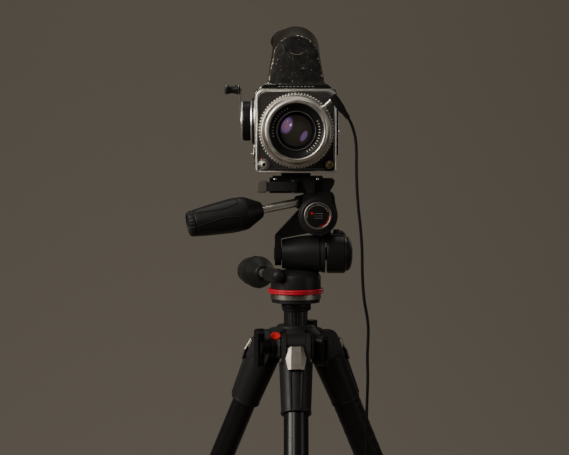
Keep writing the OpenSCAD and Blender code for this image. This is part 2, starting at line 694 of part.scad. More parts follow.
spider();
hinge_pins();
column_lock_knob();
centre_column();
column_plate();
leg_casting(front_spin);  // front_leg_casting
upper_tube(front_spin);  // front_upper_tube
clamp_lever(front_spin, upper_end, upper_tube_radius + 4);  // front_upper_lever
middle_tube(front_spin);  // front_middle_tube
clamp_lever(front_spin, middle_end, middle_tube_radius + 3.4);  // front_lower_lever
lower_tube(front_spin);  // front_lower_tube
angle_selector(front_spin);  // front_angle_selector
leg_casting(right_spin);  // right_leg_casting
upper_tube(right_spin, true);  // right_upper_tube
clamp_lever(right_spin, upper_end, upper_tube_radius + 4);  // right_upper_lever
middle_tube(right_spin);  // right_middle_tube
clamp_lever(right_spin, middle_end, middle_tube_radius + 3.4);  // right_lower_lever
lower_tube(right_spin);  // right_lower_tube
angle_selector(right_spin);  // right_angle_selector
leg_casting(left_spin);  // left_leg_casting
upper_tube(left_spin);  // left_upper_tube
clamp_lever(left_spin, upper_end, upper_tube_radius + 4);  // left_upper_lever
middle_tube(left_spin);  // left_middle_tube
clamp_lever(left_spin, middle_end, middle_tube_radius + 3.4);  // left_lower_lever
lower_tube(left_spin);  // left_lower_tube
angle_selector(left_spin);  // left_angle_selector
head_base();
red_ring();
pan_body();
pan_lever();
pan_grip();
tilt_yoke();
tilt_knob();
roll_wheel();
plate_receiver();
roll_cap();
roll_lever();
roll_grip();
receiver_lever();
quick_plate();
body_shell();
front_plate();
prism_housing();
eyecup();
lens_barrel();
front_glass();
focus_ring();
shutter_ring();
winding_crank();
crank_handle();
release_button();
lens_release();
film_magazine();
magazine_key();
strap_lugs();
reflex_mirror();
sync_plug();
sync_cord();
sync_coil();
cord_end_plug();
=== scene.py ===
"""Film camera on a tripod: builds the looks of the object around its CAD frame.

Every piece is made in millimetres from the lens axis, a leg's hinge or a handle's axis, and is placed in metres.
"""
import math

import bmesh
import bpy
from mathutils import Matrix, Vector


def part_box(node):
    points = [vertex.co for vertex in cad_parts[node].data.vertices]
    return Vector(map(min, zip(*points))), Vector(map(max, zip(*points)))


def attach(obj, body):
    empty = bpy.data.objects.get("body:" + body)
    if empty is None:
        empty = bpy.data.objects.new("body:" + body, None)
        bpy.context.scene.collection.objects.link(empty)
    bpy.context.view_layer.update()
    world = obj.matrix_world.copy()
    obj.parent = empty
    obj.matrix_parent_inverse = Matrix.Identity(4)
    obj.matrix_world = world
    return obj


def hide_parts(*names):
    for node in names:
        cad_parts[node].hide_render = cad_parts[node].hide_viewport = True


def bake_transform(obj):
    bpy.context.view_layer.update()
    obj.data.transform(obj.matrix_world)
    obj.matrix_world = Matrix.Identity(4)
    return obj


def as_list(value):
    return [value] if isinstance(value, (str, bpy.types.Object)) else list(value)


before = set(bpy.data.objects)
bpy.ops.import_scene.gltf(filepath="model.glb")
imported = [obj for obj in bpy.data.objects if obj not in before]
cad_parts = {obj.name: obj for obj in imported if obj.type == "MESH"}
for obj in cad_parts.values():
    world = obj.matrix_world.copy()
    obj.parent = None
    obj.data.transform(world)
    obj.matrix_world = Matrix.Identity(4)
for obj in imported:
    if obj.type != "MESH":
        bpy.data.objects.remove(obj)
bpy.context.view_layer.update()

bl_info = {
    "name": "Film camera on tripod",
    "version": (1, 0, 0),
    "blender": (4, 5, 0),
    "location": "3D View > Sidebar > Camera stand",
    "description": "Builds a medium-format film camera, its three-way head, tripod and flash cord around a CAD frame",
    "category": "Object",
}

# Places of the main axes, in metres, read from the frame
GLASS_LOW, GLASS_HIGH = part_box("front_glass")
COLUMN_LOW, COLUMN_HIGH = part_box("centre_column")
LENS_HEIGHT = (GLASS_LOW[2] + GLASS_HIGH[2]) / 2
COLUMN_Y = (COLUMN_LOW[1] + COLUMN_HIGH[1]) / 2
HINGE_DROP = 0.227
HINGE_HEIGHT = LENS_HEIGHT - HINGE_DROP
LEG_ANGLE = math.radians(25)
LEG_SPINS = {"front": 0, "right": 120, "left": 240}
MM = 0.001
PER_METRE = 1000
# Millimetres: the hinges' circle, the sole's half thickness and the slice worn off it
HINGE_RADIUS = 32
SOLE_HEIGHT = 14
SOLE_CUT = 0.6
# The prism's foot above the lens axis, and how far its face leans back for each unit of height
PRISM_FOOT = 49.2
PRISM_LEAN = 0.385
PRISM_FRONT = -29.8
# Where the crank's pin stands from its shaft, and the ends of the clamp sleeves down a leg
CRANK_PIN = 33.4
UPPER_SLEEVE_END, MIDDLE_SLEEVE_END = -394.5, -619.5

# Frames: each takes millimetres to metres
LENS = Matrix.Translation((0, COLUMN_Y, LENS_HEIGHT)) @ Matrix.Scale(MM, 4)
FLOOR = Matrix.Translation((0, COLUMN_Y, 0)) @ Matrix.Scale(MM, 4)
HINGES = Matrix.Translation((0, COLUMN_Y, HINGE_HEIGHT)) @ Matrix.Scale(MM, 4)
# Turns: local Z becomes the front, the right, or the upper back
FRONT = Matrix.Rotation(math.radians(90), 4, "X")
RIGHT = Matrix.Rotation(math.radians(90), 4, "Y")
# Takes an outline of (depth, height) points to the side of the camera, with its thickness along X
SIDE = Matrix(((0, 0, 1, 0), (1, 0, 0, 0), (0, 1, 0, 0), (0, 0, 0, 1)))


def shift(x=0.0, y=0.0, z=0.0):
    return Matrix.Translation((x, y, z))


def turn(degrees, axis):
    return Matrix.Rotation(math.radians(degrees), 4, axis)


def leg_place(spin):
    """A leg's frame: its hinge is at the origin and the leg runs down local Z, its outer side towards local -Y."""
    return HINGES @ turn(spin, "Z") @ shift(0, -HINGE_RADIUS) @ Matrix.Rotation(-LEG_ANGLE, 4, "X")


LENS_FRONT = LENS @ FRONT
EYEPIECE = LENS @ shift(0, 14, 72) @ turn(-45, "X")
PAN_HANDLE = LENS @ shift(-18.5, -24, -153.9) @ turn(12.7, "Z") @ turn(-92.5, "X")
ROLL_HANDLE = LENS @ shift(6.5, -13, -75.3) @ turn(12, "Z") @ turn(-10.7, "Y") @ turn(-90, "Y")
ROLL_AXIS = LENS @ shift(23.3, 0, -90) @ FRONT
TILT_AXIS = LENS @ shift(0, 0, -132) @ RIGHT
CRANK = LENS @ shift(0, 4, 10.5) @ turn(-90, "Y")
FLASH_SOCKET = LENS @ shift(0, -68, 0) @ turn(-41, "Y") @ RIGHT
LEG_LENGTH = ((HINGE_HEIGHT / MM) - SOLE_HEIGHT + SOLE_CUT) / math.cos(LEG_ANGLE)


# Settings

class StandSizes(bpy.types.PropertyGroup):
    """Sizes that a user would change"""
    cord_diameter: bpy.props.FloatProperty(
        name="Cord diameter", description="Thickness of the flash cord", default=0.003, unit="LENGTH")
    coil_radius: bpy.props.FloatProperty(
        name="Coil radius", description="Radius of the coil's middle turn", default=0.020, unit="LENGTH")
    focus_teeth: bpy.props.IntProperty(
        name="Focus ring teeth", description="Scallops round the focus ring", default=73)
    wheel_knurls: bpy.props.IntProperty(
        name="Crank wheel knurls", description="Ribs round the winding wheel", default=60)
    barrel_marks: bpy.props.IntProperty(
        name="Lens barrel marks", description="Dark marks round the side of the lens barrel", default=54)
    grip_panels: bpy.props.IntProperty(
        name="Grip panels", description="Outlined panels round each handle grip", default=4)


class StandColours(bpy.types.PropertyGroup):
    """Colours that a user would change"""
    leather: bpy.props.FloatVectorProperty(
        name="Leather", description="Colour of the camera's covering", subtype="COLOR", default=(0.016, 0.015, 0.014))
    casting: bpy.props.FloatVectorProperty(
        name="Castings", description="Colour of the head and the spider", subtype="COLOR",
        default=(0.014, 0.014, 0.0145))
    band: bpy.props.FloatVectorProperty(
        name="Band", description="Colour of the ring under the head", subtype="COLOR", default=(0.50, 0.012, 0.03))
    chrome: bpy.props.FloatVectorProperty(
        name="Chrome", description="Colour of the camera's bright trim", subtype="COLOR", default=(0.66, 0.64, 0.60))


# Materials

class Value:
    """A number that varies over a surface; arithmetic on it adds Math nodes"""

    def __init__(self, finish, socket):
        self.finish, self.socket = finish, socket

    def math(self, operation, *others):
        node = self.finish.node("ShaderNodeMath", {"operation": operation}, dict(enumerate((self, *others))))
        return Value(self.finish, node.outputs[0])

    def __add__(self, other):
        return self.math("ADD", other)

    def __mul__(self, other):
        return self.math("MULTIPLY", other)

    def __sub__(self, other):
        return self.math("SUBTRACT", other)

    def __rsub__(self, other):
        return (self * -1) + other

    def __truediv__(self, other):
        return self.math("DIVIDE", other)

    __radd__, __rmul__ = __add__, __mul__

    def root(self):
        return self.math("SQRT")

    def size(self):
        return self.math("ABSOLUTE")

    def at_least(self, low):
        return self.math("MAXIMUM", low)

    def ramp(self, low, high):
        """0 below low, 1 above high, and straight between them; with low above high it falls instead"""
        node = self.finish.node("ShaderNodeMapRange", {"clamp": True}, {0: self, 1: low, 2: high, 3: 0.0, 4: 1.0})
        return Value(self.finish, node.outputs[0])


class Finish:
    """One material: a Principled shader and the nodes that feed it"""

    def __init__(self, name, colour, roughness, metallic=0.0, fixed=None):
        self.material = bpy.data.materials.new(name)
        self.material.use_nodes = True
        self.tree = self.material.node_tree
        self.shader = self.tree.nodes["Principled BSDF"]
        self.colour_socket = None
        self.base = colour
        start = {"Base Color": (*colour, 1.0), "Roughness": roughness, "Metallic": metallic, **(fixed or {})}
        for socket, value in start.items():
            self.shader.inputs[socket].default_value = value
        self.place = self.tree.nodes.new("ShaderNodeTexCoord").outputs["Object"]

    def node(self, kind, settings=None, inputs=None):
        """Adds a node: its settings first, then the value or link of each socket"""
        node = self.tree.nodes.new(kind)
        for name, value in (settings or {}).items():
            setattr(node, name, value)
        for socket, value in (inputs or {}).items():
            if isinstance(value, Value):
                value = value.socket
            if isinstance(value, bpy.types.NodeSocket):
                self.tree.links.new(value, node.inputs[socket])
            else:
                node.inputs[socket].default_value = value
        return node

    def part(self, axis):
        """The X, Y or Z place on the piece, in millimetres from the lens axis"""
        origin = (0, COLUMN_Y, LENS_HEIGHT)["XYZ".index(axis)]
        split = self.node("ShaderNodeSeparateXYZ", None, {0: self.place})
        return (Value(self, split.outputs[axis]) - origin) * PER_METRE

    def stretched(self, stretch):
        return self.node("ShaderNodeVectorMath", {"operation": "MULTIPLY"}, {0: self.place, 1: stretch}).outputs[0]

    def noise(self, size, detail=2.0, stretch=None):
        """Soft noise whose features are about size millimetres across"""
        vector = self.stretched(stretch) if stretch else self.place
        node = self.node("ShaderNodeTexNoise", None, {"Vector": vector, "Scale": PER_METRE / size, "Detail": detail})
        return Value(self, node.outputs[0])

    def cells(self, size, feature="F1"):
        node = self.node("ShaderNodeTexVoronoi", {"feature": feature},
            {"Vector": self.place, "Scale": PER_METRE / size})
        return Value(self, node.outputs["Distance"])

    def tint(self, colour, mask):
        """Mixes another colour into the base where the mask is 1"""
        node = self.node("ShaderNodeMix", {"data_type": "RGBA"}, {0: mask, 7: (*colour, 1.0)})
        if self.colour_socket is None:
            node.inputs[6].default_value = (*self.base, 1.0)
        else:
            self.tree.links.new(self.colour_socket, node.inputs[6])
        self.colour_socket = node.outputs[2]
        self.tree.links.new(self.colour_socket, self.shader.inputs["Base Color"])

    def feed(self, socket, value):
        self.tree.links.new(value.socket, self.shader.inputs[socket])

    def bump(self, height, depth, strength=0.6):
        """Raises the surface by depth millimetres where height is 1"""
        node = self.node("ShaderNodeBump", None, {"Height": height, "Distance": depth * MM, "Strength": strength})
        self.tree.links.new(node.outputs[0], self.shader.inputs["Normal"])


def metal(name, colour, roughness, streak=(1, 1, 1), grime=0.35, depth=0.012):
    """Bright metal with fine brushing, dull smudges and some grime"""
    finish = Finish(name, colour, roughness, 1.0)
    brushing, smudge = finish.noise(0.25, 2.0, streak), finish.noise(9.0, 4.0)
    finish.tint(tuple(c * 0.45 for c in colour), smudge.ramp(0.52, 0.78) * grime)
    finish.tint((0.10, 0.075, 0.05), finish.noise(2.2, 3.0).ramp(0.64, 0.80) * grime)
    dull = smudge.ramp(0.35, 0.75) * 0.16 * grime / 0.35
    finish.feed("Roughness", roughness + dull + (brushing - 0.5) * depth * 12)
    finish.bump(brushing, depth, 0.35)
    return finish


def moulded(name, colour, roughness, grain=0.35, depth=0.02, dust=0.25, coat=0.0):
    """Black plastic, paint or rubber: fine grain, uneven gloss and a little dust"""
    finish = Finish(name, colour, roughness, 0.0, {
        "Coat Weight": coat, "Coat Roughness": 0.25, "Specular IOR Level": 0.2})
    fine, broad = finish.noise(grain, 3.0), finish.noise(14.0, 4.0)
    finish.tint((0.10, 0.094, 0.084), (finish.noise(1.1, 4.0).ramp(0.60, 0.80) * dust) * broad.ramp(0.35, 0.7))
    finish.feed("Roughness", roughness + (broad - 0.5) * 0.22 + (fine - 0.5) * 0.12)
    finish.bump(fine, depth, 0.5)
    return finish


def leather(colour):
    """Grained covering: small rounded cells between creases, polished on top"""
    finish = Finish("black_grained_leather", colour, 0.45, 0.0, {"Specular IOR Level": 0.45})
    cell, fine = finish.cells(1.15, "SMOOTH_F1"), finish.noise(0.28, 3.0)
    finish.tint((0.05, 0.046, 0.042), (1 - cell.ramp(0.1, 0.55)) * 0.35)
    finish.feed("Roughness", 0.40 + cell.ramp(0.15, 0.6) * 0.25)
    finish.bump((1 - cell.ramp(0.05, 0.75)) + fine * 0.25, 0.14, 0.8)
    return finish


def worn_enamel():
    """Glossy black paint on brass, chipped to bare metal along the arch and scratched on its face"""
    finish = Finish("worn_black_enamel", (0.008, 0.0075, 0.007), 0.24, 0.0, {"Specular IOR Level": 0.3})
    x, z = finish.part("X"), finish.part("Z")
    arch_centre = 76.7
    half_width = 29.8 - (z - 49).ramp(0, 27.7) * 5.4
    reach = (x * x + (z - arch_centre).at_least(0.0) * (z - arch_centre).at_least(0.0)).root() / half_width
    edge = reach.ramp(0.92, 0.99)
    fine, middle, broad = finish.noise(0.7, 4.0), finish.noise(2.6, 5.0), finish.noise(8.0, 4.0)
    chips = (middle + edge * 0.15 + fine * 0.12).ramp(0.735, 0.775)
    specks = finish.noise(0.55, 1.0).ramp(0.715, 0.745) * broad.ramp(0.46, 0.6)
    arc = ((x - 1) * (x - 1) + (z - 92) * (z - 92)).root()
    scratch = (1 - (arc - 11.5).size().ramp(0.08, 0.24)) * (z - 82).ramp(1.5, 0.0) * fine.ramp(0.38, 0.5)
    line = (1 - (x + z * 0.35 - 20 + broad * 5).size().ramp(0.05, 0.18)) * middle.ramp(0.5, 0.6) * 0.6
    marks = (chips + specks + scratch + line).ramp(0.0, 1.0)
    finish.tint((0.04, 0.037, 0.032), broad.ramp(0.60, 0.84) * 0.15)
    finish.tint((0.46, 0.40, 0.30), marks)
    finish.feed("Metallic", marks * 0.8)
    finish.feed("Roughness", 0.22 + broad.ramp(0.3, 0.8) * 0.2 + fine * 0.06)
    finish.bump(fine * 0.4 - marks * 0.8, 0.05, 0.5)
    return finish


def plain_optic(name, colour, roughness, fixed):
    """Glass or a coated surface, with faint dust"""
    finish = Finish(name, colour, roughness, 0.0, fixed)
    finish.tint(tuple(min(1, c + 0.06) for c in colour), finish.noise(0.8, 3.0).ramp(0.68, 0.74) * 0.5)
    return finish


def element_with_painted_reflections():
    """Olive glass with a large painted violet reflection on its upper left and a small one on its lower right, a pink
    painted highlight inside the large one, and a faint painted glow that is strongest in the painted reflections
    """
    finish = Finish("olive_element_painted_reflections", (0.070, 0.062, 0.036), 0.12, 0.0, {
        "Metallic": 0.25, "Emission Strength": 1.0})
    x, z = finish.part("X"), finish.part("Z")
    reflection_masks = []
    for centre_x, centre_z, wide, tall, lean in ((-9.8, 5.8, 6.6, 10.0, 0.35), (8.0, -5.6, 3.3, 6.8, 0.52)):
        across = (x - centre_x) * math.cos(lean) - (z - centre_z) * math.sin(lean)
        along = (z - centre_z) * math.cos(lean) + (x - centre_x) * math.sin(lean)
        far = (across * across / wide ** 2 + along * along / tall ** 2).root()
        reflection_masks.append((1 - far.ramp(0.72, 1.05), 1 - far.ramp(0.05, 0.75)))
    # Painted reflections: violet patches on the upper left and lower right, and a pink painted highlight inside the
    # upper one
    finish.tint((0.24, 0.12, 0.36), reflection_masks[0][0])
    finish.tint((0.52, 0.24, 0.24), reflection_masks[0][1] * 0.8)
    finish.tint((0.22, 0.12, 0.30), reflection_masks[1][0])
    # Painted glow: the colour, brightest in the painted reflections, also feeds the emission, so the element glows
    # though it is no lamp
    painted_glow = finish.node("ShaderNodeMix", {"data_type": "RGBA"}, {
        0: (reflection_masks[0][0] + reflection_masks[1][0]) * 0.5, 6: (0.012, 0.011, 0.006, 1), 7: finish.colour_socket})
    finish.tree.links.new(painted_glow.outputs[2], finish.shader.inputs["Emission Color"])
    return finish


FINISHES = {}


def make_finishes(colours):
    """Makes every material once"""
    chrome, casting = tuple(colours.chrome), tuple(colours.casting)
    FINISHES.update({
        "chrome": metal("satin_chrome", chrome, 0.22, (1, 1, 1), 0.05, 0.002),
        "frame_chrome": metal("rounded_frame_chrome", (0.86, 0.84, 0.80), 0.34, (1, 1, 1), 0.06, 0.002),
        "lens_metal": metal("satin_lens_aluminium", (0.62, 0.59, 0.54), 0.30, (1, 1, 1), 0.55),
        "dark_steel": metal("dark_crank_steel", (0.16, 0.155, 0.15), 0.3, (1, 1, 1), 0.2, 0.004),
        "steel": metal("polished_steel_rod", (0.80, 0.78, 0.72), 0.30, (1, 1, 1), 0.15),
        "selector": metal("brushed_selector_aluminium", (0.27, 0.25, 0.22), 0.36, (4, 4, 0.3), 0.25, 0.006),
        "brass": metal("dark_brass", (0.40, 0.31, 0.16), 0.34, (1, 1, 1), 0.5),
        "leather": leather(tuple(colours.leather)),
        "enamel": worn_enamel(),
        "band_paint": moulded("prism_band_paint", (0.014, 0.011, 0.007), 0.5, 0.5, 0.02, 0.3),
        "casting": moulded("powder_coated_casting", casting, 0.42, 0.45, 0.025, 0.08, 0.0),
        "plastic": moulded("moulded_black_plastic", (0.010, 0.010, 0.0105), 0.34, 0.5, 0.012, 0.12),
        "tube": moulded("anodised_black_tube", (0.007, 0.007, 0.0075), 0.26, 0.3, 0.006, 0.06, 0.2),
        "rubber": moulded("black_rubber_grip", (0.012, 0.012, 0.012), 0.42, 0.55, 0.04, 0.35),
        "eyecup_rubber": moulded("soft_eyecup_rubber", (0.008, 0.008, 0.008), 0.50, 0.5, 0.03, 0.3),
        "pad_rubber": moulded("worn_lever_pad", (0.085, 0.078, 0.066), 0.62, 0.6, 0.05, 0.4),
        "ring_black": moulded("lens_ring_black", (0.009, 0.009, 0.009), 0.34, 0.4, 0.008, 0.1),
        "inside": moulded("matte_lens_black", (0.004, 0.004, 0.004), 0.7, 0.4, 0.01, 0.0),
        "red": moulded("red_band_enamel", tuple(colours.band), 0.34, 0.5, 0.008, 0.05, 0.3),
        "red_mark": moulded("red_mark_paint", (0.42, 0.010, 0.012), 0.4, 0.5, 0.005, 0.0),
        "white_mark": moulded("white_mark_paint", (0.62, 0.60, 0.54), 0.5, 0.5, 0.005, 0.0),
        "dim_mark": moulded("worn_mark_paint", (0.20, 0.19, 0.17), 0.5, 0.5, 0.005, 0.0),
        "cord": moulded("cord_jacket", (0.005, 0.005, 0.005), 0.40, 0.4, 0.01, 0.05),
        "front_glass": plain_optic("coated_front_glass", (0.03, 0.02, 0.05), 0.02, {
            "Alpha": 0.12, "IOR": 1.5, "Specular Tint": (0.8, 0.55, 1.0, 1.0)}),
        # The second element: olive glass with painted violet reflections, a painted highlight and a painted glow
        "glass_painted_reflections": element_with_painted_reflections(),
        "deep_glass": plain_optic("deep_olive_element", (0.30, 0.24, 0.13), 0.16, {"Metallic": 0.7}),
        "mirror": plain_optic("mirror_surface", (0.85, 0.85, 0.85), 0.03, {"Metallic": 1.0}),
        "level": plain_optic("level_vial", (0.45, 0.55, 0.08), 0.08, {"Coat Weight": 1.0}),
    })


# Shapes

def soften(profile, radius, closed=False):
    """Rounds the corners of a profile of (radius, height) points"""
    points = [Vector(p) for p in profile]
    count, result = len(points), []
    for i, corner in enumerate(points):
        if not closed and i in (0, count - 1):
            result.append(tuple(corner))
            continue
        before, after = points[i - 1] - corner, points[(i + 1) % count] - corner
        reach = min(radius, before.length * 0.45, after.length * 0.45)
        if reach < 0.02:
            result.append(tuple(corner))
            continue
        start, end = corner + before.normalized() * reach, corner + after.normalized() * reach
        for t in (0, 0.33, 0.67, 1):
            result.append(tuple(start * (1 - t) ** 2 + corner * (2 * t * (1 - t)) + end * t * t))
    return result


def rounded_rectangle(low, high, radii, steps=8):
    """Outline of a rectangle, anticlockwise from its lower right corner; one radius for each corner"""
    corners = [(high[0], low[1], -90), (high[0], high[1], 0), (low[0], high[1], 90), (low[0], low[1], 180)]
    points = []
    for (x, y, start), radius in zip(corners, radii):
        centre_x = x - math.copysign(radius, x - (low[0] + high[0]) / 2)
        centre_y = y - math.copysign(radius, y - (low[1] + high[1]) / 2)
        for k in range(steps + 1):
            angle = math.radians(start + 90 * k / steps)
            points.append((centre_x + radius * math.cos(angle), centre_y + radius * math.sin(angle)))
    return points


class Shape:
    """A mesh being built in millimetres, placed in metres when it is finished"""

    def __init__(self, place=LENS):
        self.mesh = bmesh.new()
        self.place = place
        self.finishes = []
        self.current = 0

    def paint(self, finish):
        """What is added next takes this finish"""
        if finish not in self.finishes:
            self.finishes.append(finish)
        self.current = self.finishes.index(finish)
        return self

    def rings(self, rings, closed=False, caps=True, place=None):
        """Joins equal rings of points with quads"""
        place = place or Matrix.Identity(4)
        rows = [[self.mesh.verts.new(place @ Vector(p)) for p in ring] for ring in rings]
        faces = []
        for a, b in zip(rows, rows[1:] + ([rows[0]] if closed else [])):
            count = len(a)
            for k in range(count):
                faces.append(self.mesh.faces.new((a[k], a[(k + 1) % count], b[(k + 1) % count], b[k])))
        if caps and not closed:
            faces.append(self.mesh.faces.new(list(reversed(rows[0]))))
            faces.append(self.mesh.faces.new(rows[-1]))
        for face in faces:
            face.material_index = self.current
        return self

    def lathe(self, profile, place=None, steps=96, closed=True, soft=0.3, wave=None):
        """Turns a profile of (radius, height) about local Z; wave(angle, radius, height) may change the radius"""
        outline = soften(profile, soft, closed) if soft else profile
        rings = []
        for radius, height in outline:
            ring = []
            for k in range(steps):
                angle = math.tau * k / steps
                r = wave(angle, radius, height) if wave else radius
                ring.append((r * math.cos(angle), r * math.sin(angle), height))
            rings.append(ring)
        return self.rings(rings, closed, False, place)

    def extrude(self, outline, low, high, place=None, inner=None):
        """A flat outline between two heights; with an inner outline of as many points it is a frame"""
        rings = [[(x, y, z) for x, y in outline] for z in (low, high)]
        if inner is None:
            return self.rings(rings, False, True, place)
        rings += [[(x, y, z) for x, y in inner] for z in (high, low)]
        return self.rings(rings, True, False, place)

    def block(self, low, high, place=None):
        outline = [(low[0], low[1]), (high[0], low[1]), (high[0], high[1]), (low[0], high[1])]
        return self.extrude(outline, low[2], high[2], place)

    def tube(self, path, radius, sides=10, place=None):
        """A closed tube along a path, with its frame carried along so that it doesn't twist"""
        points = [Vector(p) for p in path]
        rings, across = [], None
        for i, point in enumerate(points):
            along = (points[min(i + 1, len(points) - 1)] - points[max(i - 1, 0)]).normalized()
            if across is None:
                across = along.orthogonal().normalized()
            across = (across - along * across.dot(along)).normalized()
            up = along.cross(across)
            rings.append([point + (across * math.cos(math.tau * k / sides) + up * math.sin(math.tau * k / sides))
                          * radius for k in range(sides)])
        return self.rings(rings, False, True, place)

    def cad(self, node, dissolve=0.6):
        """Adds a merged copy of a CAD node; its mesh is in metres already"""
        source = bmesh.new()
        source.from_mesh(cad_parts[node].data)
        bmesh.ops.remove_doubles(source, verts=source.verts, dist=2e-6)
        if dissolve:
            bmesh.ops.dissolve_limit(source, angle_limit=math.radians(dissolve), verts=source.verts,
                                     edges=source.edges)
        back = self.place.inverted()
        copies = {v: self.mesh.verts.new(back @ v.co) for v in source.verts}
        for face in source.faces:
            try:
                new = self.mesh.faces.new([copies[v] for v in face.verts])
                new.material_index = self.current
            except ValueError:
                continue
        source.free()
        return self

    def zone(self, finish, inside):
        """Gives a finish to the faces whose centre, in this shape's frame, passes the test"""
        before = self.current
        self.paint(finish)
        for face in self.mesh.faces:
            if inside(face.calc_center_median()):
                face.material_index = self.current
        self.current = before
        return self

    def done(self, name, body, slot, replaces=(), bevel=0.0, sharp=32, fix=True):
        """Finishes the piece: clean, place, smooth, ride and name it"""
        if fix:
            bmesh.ops.remove_doubles(self.mesh, verts=self.mesh.verts, dist=0.002)
            bmesh.ops.recalc_face_normals(self.mesh, faces=self.mesh.faces)
        self.mesh.transform(self.place)
        data = bpy.data.meshes.new(name)
        self.mesh.to_mesh(data)
        self.mesh.free()
        return add_piece(name, data, self.finishes, body, replaces, bevel, sharp)


def add_piece(name, data, finishes, body, replaces=(), bevel=0.0, sharp=32):
    data.name = name
    for finish in finishes:
        data.materials.append(FINISHES[finish].material)
    data.shade_smooth()
    data.set_sharp_from_angle(angle=math.radians(sharp))
    piece = bpy.data.objects.new(name, data)
    bpy.context.scene.collection.objects.link(piece)
    if bevel:
        edge = piece.modifiers.new("edge", "BEVEL")
        edge.width, edge.segments, edge.limit_method = bevel * MM, 2, "ANGLE"
        edge.angle_limit = math.radians(38)
    if body:
        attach(piece, body)
    if replaces:
        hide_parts(*replaces)
    return piece


def repeat_tree():
    """Geometry nodes that repeat a small shape round local Z, and up it"""
    tree = bpy.data.node_groups.new("Repeat round an axis", "GeometryNodeTree")
    sockets = (("Shape", "NodeSocketObject"), ("Count", "NodeSocketInt"), ("Radius", "NodeSocketFloat"),
               ("Start", "NodeSocketFloat"), ("Step", "NodeSocketFloat"), ("Lift", "NodeSocketFloat"),
               ("Finish", "NodeSocketMaterial"))
    for name, kind in sockets:
        tree.interface.new_socket(name, in_out="INPUT", socket_type=kind)
    tree.interface.new_socket("Geometry", in_out="OUTPUT", socket_type="NodeSocketGeometry")

    def add(kind, settings=None, links=None):
        node = tree.nodes.new(kind)
        for key, value in (settings or {}).items():
            setattr(node, key, value)
        for key, socket in (links or {}).items():
            tree.links.new(socket, node.inputs[key])
        return node

    given = add("NodeGroupInput").outputs
    index = add("GeometryNodeInputIndex").outputs[0]
    height = add("ShaderNodeMath", {"operation": "MULTIPLY"}, {0: index, 1: given["Lift"]}).outputs[0]
    angle = add("ShaderNodeMath", {"operation": "MULTIPLY_ADD"}, {0: index, 1: given["Step"], 2: given["Start"]})
    where = add("ShaderNodeCombineXYZ", None, {"Z": height}).outputs[0]
    spin = add("ShaderNodeCombineXYZ", None, {"Z": angle.outputs[0]}).outputs[0]
    out = add("ShaderNodeCombineXYZ", None, {"X": given["Radius"]}).outputs[0]
    points = add("GeometryNodePoints", None, {"Count": given["Count"], "Position": where}).outputs[0]
    shape = add("GeometryNodeObjectInfo", None, {"Object": given["Shape"]}).outputs["Geometry"]
    moved = add("GeometryNodeTransform", None, {"Geometry": shape, "Translation": out}).outputs[0]
    copies = add("GeometryNodeInstanceOnPoints", None, {"Points": points, "Instance": moved, "Rotation": spin})
    real = add("GeometryNodeRealizeInstances", None, {"Geometry": copies.outputs[0]}).outputs[0]
    painted = add("GeometryNodeSetMaterial", None, {"Geometry": real, "Material": given["Finish"]}).outputs[0]
    add("NodeGroupOutput", None, {"Geometry": painted})
    return tree


def repeated(name, shape, place, body, finish, count, radius=0.0, start=0.0, step=None, lift=0.0, sharp=32):
    """Repeats a small shape round an axis with geometry nodes, and makes the result one plain mesh piece"""
    tree = bpy.data.node_groups.get("Repeat round an axis") or repeat_tree()
    bmesh.ops.recalc_face_normals(shape.mesh, faces=shape.mesh.faces)
    seed_mesh = bpy.data.meshes.new("seed")
    shape.mesh.to_mesh(seed_mesh)
    shape.mesh.free()
    seed = bpy.data.objects.new("seed", seed_mesh)
    host = bpy.data.objects.new("host", bpy.data.meshes.new("host"))
    for thing in (seed, host):
        bpy.context.scene.collection.objects.link(thing)
    modifier = host.modifiers.new("repeat", "NODES")
    modifier.node_group = tree
    values = {"Shape": seed, "Count": count, "Radius": float(radius), "Start": math.radians(start),
              "Step": math.radians(360 / count if step is None else step), "Lift": float(lift),
              "Finish": FINISHES[finish].material}
    for item in tree.interface.items_tree:
        if item.in_out == "INPUT":
            modifier[item.identifier] = values[item.name]
    graph = bpy.context.evaluated_depsgraph_get()
    graph.update()
    data = bpy.data.meshes.new_from_object(host.evaluated_get(graph))
    host.modifiers.remove(modifier)
    for thing in (seed, host):
        bpy.data.objects.remove(thing)
    data.transform(place)
    data.materials.clear()
    return add_piece(name, data, [finish], body, (), 0.0, sharp)


def turned(name, body, slot, finish, place, profile, replaces=(), sharp=32, **form):
    """A piece turned from one profile"""
    return Shape(place).paint(finish).lathe(profile, **form).done(name, body, slot, replaces, 0.0, sharp)


def plate(name, body, slot, finish, place, outline, low, high, inner=None, replaces=(), bevel=0.0):
    """A flat piece between two heights, with a hole where an inner outline is given"""
    return Shape(place).paint(finish).extrude(outline, low, high, inner=inner).done(name, body, slot, replaces, bevel)


def cad_piece(name, node, body, finish, slot, bevel=0.3, dissolve=0.6, zones=(), place=LENS, sharp=32):
    """A bevelled copy of a CAD node that stands for it"""
    shape = Shape(place).paint(finish).cad(node, dissolve)
    for zone_finish, inside in zones:
        shape.zone(zone_finish, inside)
    return shape.done(name, body, slot, (node,), bevel, sharp, fix=False)


# Cord

